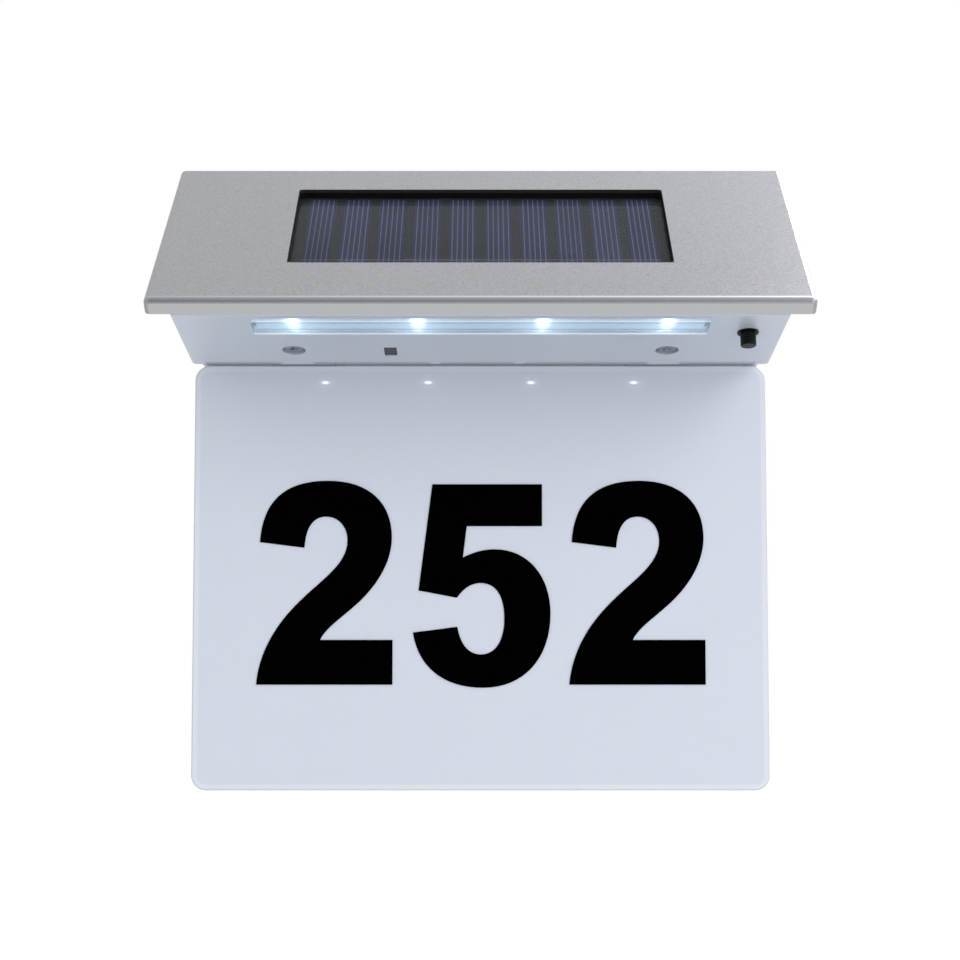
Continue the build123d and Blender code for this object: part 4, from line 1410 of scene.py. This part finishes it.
@dataclass
class NumberPlate(Assembly):
    """The milky plate with its three stick-on digits."""

    acrylic: MilkyAcrylic = MilkyAcrylic(
        "milky_acrylic",
        face=(0.66, 0.69, 0.775),
        rim=(0.72, 0.75, 0.82),
        edge=(0.56, 0.58, 0.64),
        half_width=0.0927,
        half_height=0.0686,
        middle_z=-0.1008,
        corner=0.0049,
    )
    vinyl: MouldedPlastic = MouldedPlastic(
        "black_vinyl", (0.0004, 0.0004, 0.0005), 0.6, 0.0, 1200.0, 0.000002, 0.05, 0.0
    )
    front_y: float = -0.0055
    base_line: float = -0.13562
    film: float = 0.0003
    number: tuple[tuple[Digit, float], ...] = (
        (Digit.TWO, -0.07206),
        (Digit.FIVE, -0.02169),
        (Digit.TWO, 0.02858),
    )

    @staticmethod
    def outline(digit: Digit, name: str) -> bpy.types.Curve:
        """Draw one digit in the XY plane, in millimetres, with the film's thickness.

        Args:
            digit: which digit.
            name: the curve's name.

        Returns:
            The closed curve.
        """
        curve = bpy.data.curves.new(name, "CURVE")
        curve.dimensions = "2D"
        curve.fill_mode = "BOTH"
        curve.extrude = 0.12
        curve.bevel_depth = 0.03
        curve.bevel_resolution = 1
        steps = digit.value
        spline = curve.splines.new("BEZIER")
        spline.use_cyclic_u = True
        spline.bezier_points.add(len(steps) - 1)
        spline.resolution_u = 16
        for place, point in enumerate(spline.bezier_points):
            step, following = steps[place], steps[(place + 1) % len(steps)]
            end = step[-1]
            point.handle_left_type = point.handle_right_type = "FREE"
            point.co = (*end, 0.0)
            point.handle_left = (*(step[1] if len(step) == 3 else end), 0.0)
            point.handle_right = (*(following[0] if len(following) == 3 else end), 0.0)
        return curve

    def build_digit(
        self, digit: Digit, left: float, name: str, film: bpy.types.Material
    ) -> None:
        """Cut one digit from film and stick it on the plate.

        Args:
            digit: which digit.
            left: the outline's X of zero on the plate.
            name: the piece's name.
            film: its finish.
        """
        made = Bench.solid_curve(name, self.outline(digit, name))
        bpy.ops.object.mode_set(mode="EDIT")
        bpy.ops.mesh.select_all(action="SELECT")
        bpy.ops.mesh.remove_doubles(threshold=0.001)
        bpy.ops.mesh.normals_make_consistent(inside=False)
        bpy.ops.object.mode_set(mode="OBJECT")
        Bench.settle(
            made,
            Matrix.Translation((left, self.front_y - self.film / 2, self.base_line))
            @ Matrix.Rotation(math.pi / 2, 4, "X")
            @ Matrix.Scale(MILLIMETRE, 4),
        )
        dress(made, film)
        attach(made, Body.HOUSING.value)
        LOG.info("cut %s", name)

    def build(self) -> None:
        """Dress the plate and stick the number on it."""
        self.wear(self.acrylic, "number_plate")
        film = self.vinyl.build(self.effects)
        for count, (digit, left) in enumerate(self.number, start=1):
            self.build_digit(digit, left, f"digit_{count}_{digit.name.lower()}", film)


# ------------------------------------------------------------------------- studio
@dataclass(frozen=True)
class SoftLight:
    """A square studio light that looks at a point."""

    name: str
    place: Place
    aim: Place
    size: float
    power: float
    colour: Tone = (1.0, 1.0, 1.0)

    def build(self) -> None:
        """Add the light."""
        data = bpy.data.lights.new(self.name, "AREA")
        data.size = self.size
        data.energy = self.power
        data.color = self.colour
        lamp = bpy.data.objects.new(self.name, data)
        bpy.context.scene.collection.objects.link(lamp)
        place = Vector(self.place)
        towards = (Vector(self.aim) - place).to_track_quat("-Z", "Y").to_matrix().to_4x4()
        lamp.matrix_world = Matrix.Translation(place) @ towards
        LOG.info("light %s", self.name)


@dataclass
class Studio:
    """Camera, pale surroundings and soft light."""

    focal_px: float = 1682.1
    image_px: float = 960.0
    sensor_mm: float = 36.0
    camera_distance: float = 0.54757
    camera_height: float = -0.12633
    pitch: float = math.radians(3.7)
    centre_column: float = 480.5
    centre_row: float = 546.82
    floor_size: float = 8.0
    floor_z: float = -0.62
    floor_tone: Tone = (0.86, 0.86, 0.86)
    floor_white: float = 1.06
    floor_white_share: float = 0.9
    daylight: float = 0.80
    day_tone: Tone = (0.96, 0.98, 1.0)
    white_tone: Tone = (1.0, 1.0, 1.0)
    front_tone: float = 0.35
    front_zone: Point = (-0.55, -0.92)
    lights: tuple[SoftLight, ...] = (
        SoftLight("key", (0.9, -1.0, 0.55), (0.0, -0.03, -0.03), 0.9, 6.0, (1.0, 0.99, 0.98)),
        SoftLight(
            "low_fill", (0.7, -1.1, -0.45), (0.0, -0.02, -0.08), 0.9, 3.0, (0.95, 0.97, 1.0)
        ),
        SoftLight("roof", (0.27, 0.04, 0.215), (0.02, -0.035, 0.005), 0.14, 1.75),
    )

    def build_camera(self) -> None:
        """Put the camera where the photograph was taken from."""
        data = bpy.data.cameras.new("camera")
        data.sensor_width = self.sensor_mm
        data.lens = self.focal_px / self.image_px * data.sensor_width
        data.shift_x = (self.image_px / 2 - self.centre_column) / self.image_px
        data.shift_y = (self.centre_row - self.image_px / 2) / self.image_px
        data.clip_start = 0.01
        data.clip_end = 50.0
        camera = bpy.data.objects.new("camera", data)
        bpy.context.scene.collection.objects.link(camera)
        camera.location = (0.0, -self.camera_distance, self.camera_height)
        camera.rotation_euler = (math.pi / 2 + self.pitch, 0.0, 0.0)
        bpy.context.scene.camera = camera

    @staticmethod
    def seen_rays(wiring: Wiring) -> Value:
        """Return a value that is 1 for what is seen directly, in gloss or through glass."""
        total = wiring.rays("Is Camera Ray")
        for name in ("Is Glossy Ray", "Is Transmission Ray"):
            total = wiring.calc("MAXIMUM", total, wiring.rays(name))
        return total

    def front_shade(self, wiring: Wiring) -> Value:
        """Return the white's strength: darker in gloss towards the room before the sign."""
        direction = wiring.node("TexCoord")["Generated"]
        forward = wiring.node("SeparateXYZ", {0: direction})[1]
        shade = wiring.ramp(forward, *self.front_zone, high=1.0 - self.front_tone)
        return 1.0 - shade * wiring.rays("Is Glossy Ray")

    def build_world(self) -> None:
        """Give the world plain daylight, and white where it is seen."""
        world = bpy.data.worlds.new("studio")
        bpy.context.scene.world = world
        world.use_nodes = True
        wiring = Wiring(world.node_tree)
        day = world.node_tree.nodes["Background"]
        wiring.feed(self.day_tone, day.inputs["Color"])
        wiring.feed(self.daylight, day.inputs["Strength"])
        inputs = {"Color": self.white_tone, "Strength": self.front_shade(wiring)}
        white = wiring.node("Background", inputs)[0]
        both = wiring.mixed(self.seen_rays(wiring), Value(wiring, day.outputs[0]), white)
        wiring.feed(both, world.node_tree.nodes["World Output"].inputs["Surface"])

    def build_floor(self) -> None:
        """Lay a white floor well below the sign; it shows white and keeps a faint shadow."""
        Bench.clear()
        bpy.ops.mesh.primitive_plane_add(size=self.floor_size, location=(0, 0, self.floor_z))
        floor = bpy.context.object
        floor.name = "floor"
        made = Coating("white_floor")
        made.set(Base_Color=self.floor_tone, Roughness=0.9)
        white = made.node("Emission", {"Strength": self.floor_white})[0]
        share = self.seen_rays(made) * self.floor_white_share
        made.show(made.mixed(share, made.surface, white))
        dress(floor, made.material)

    def build(self) -> None:
        """Set up the whole studio."""
        bpy.context.scene.view_settings.view_transform = "Standard"
        self.build_camera()
        self.build_world()
        self.build_floor()
        for light in self.lights:
            light.build()


def main() -> None:
    """Build the studio and dress the sign."""
    logging.basicConfig(level=logging.INFO, format="%(name)s: %(message)s")
    Studio().build()
    effects = Effects()
    for assembly in (
        SlopedRoof,
        WedgeHousing,
        LightStrip,
        PushButton,
        Electronics,
        Fasteners,
        NumberPlate,
    ):
        assembly(effects).build()
        LOG.info("finished %s", assembly.__name__)
    Bench.clear()


if __name__ == "__main__":
    main()
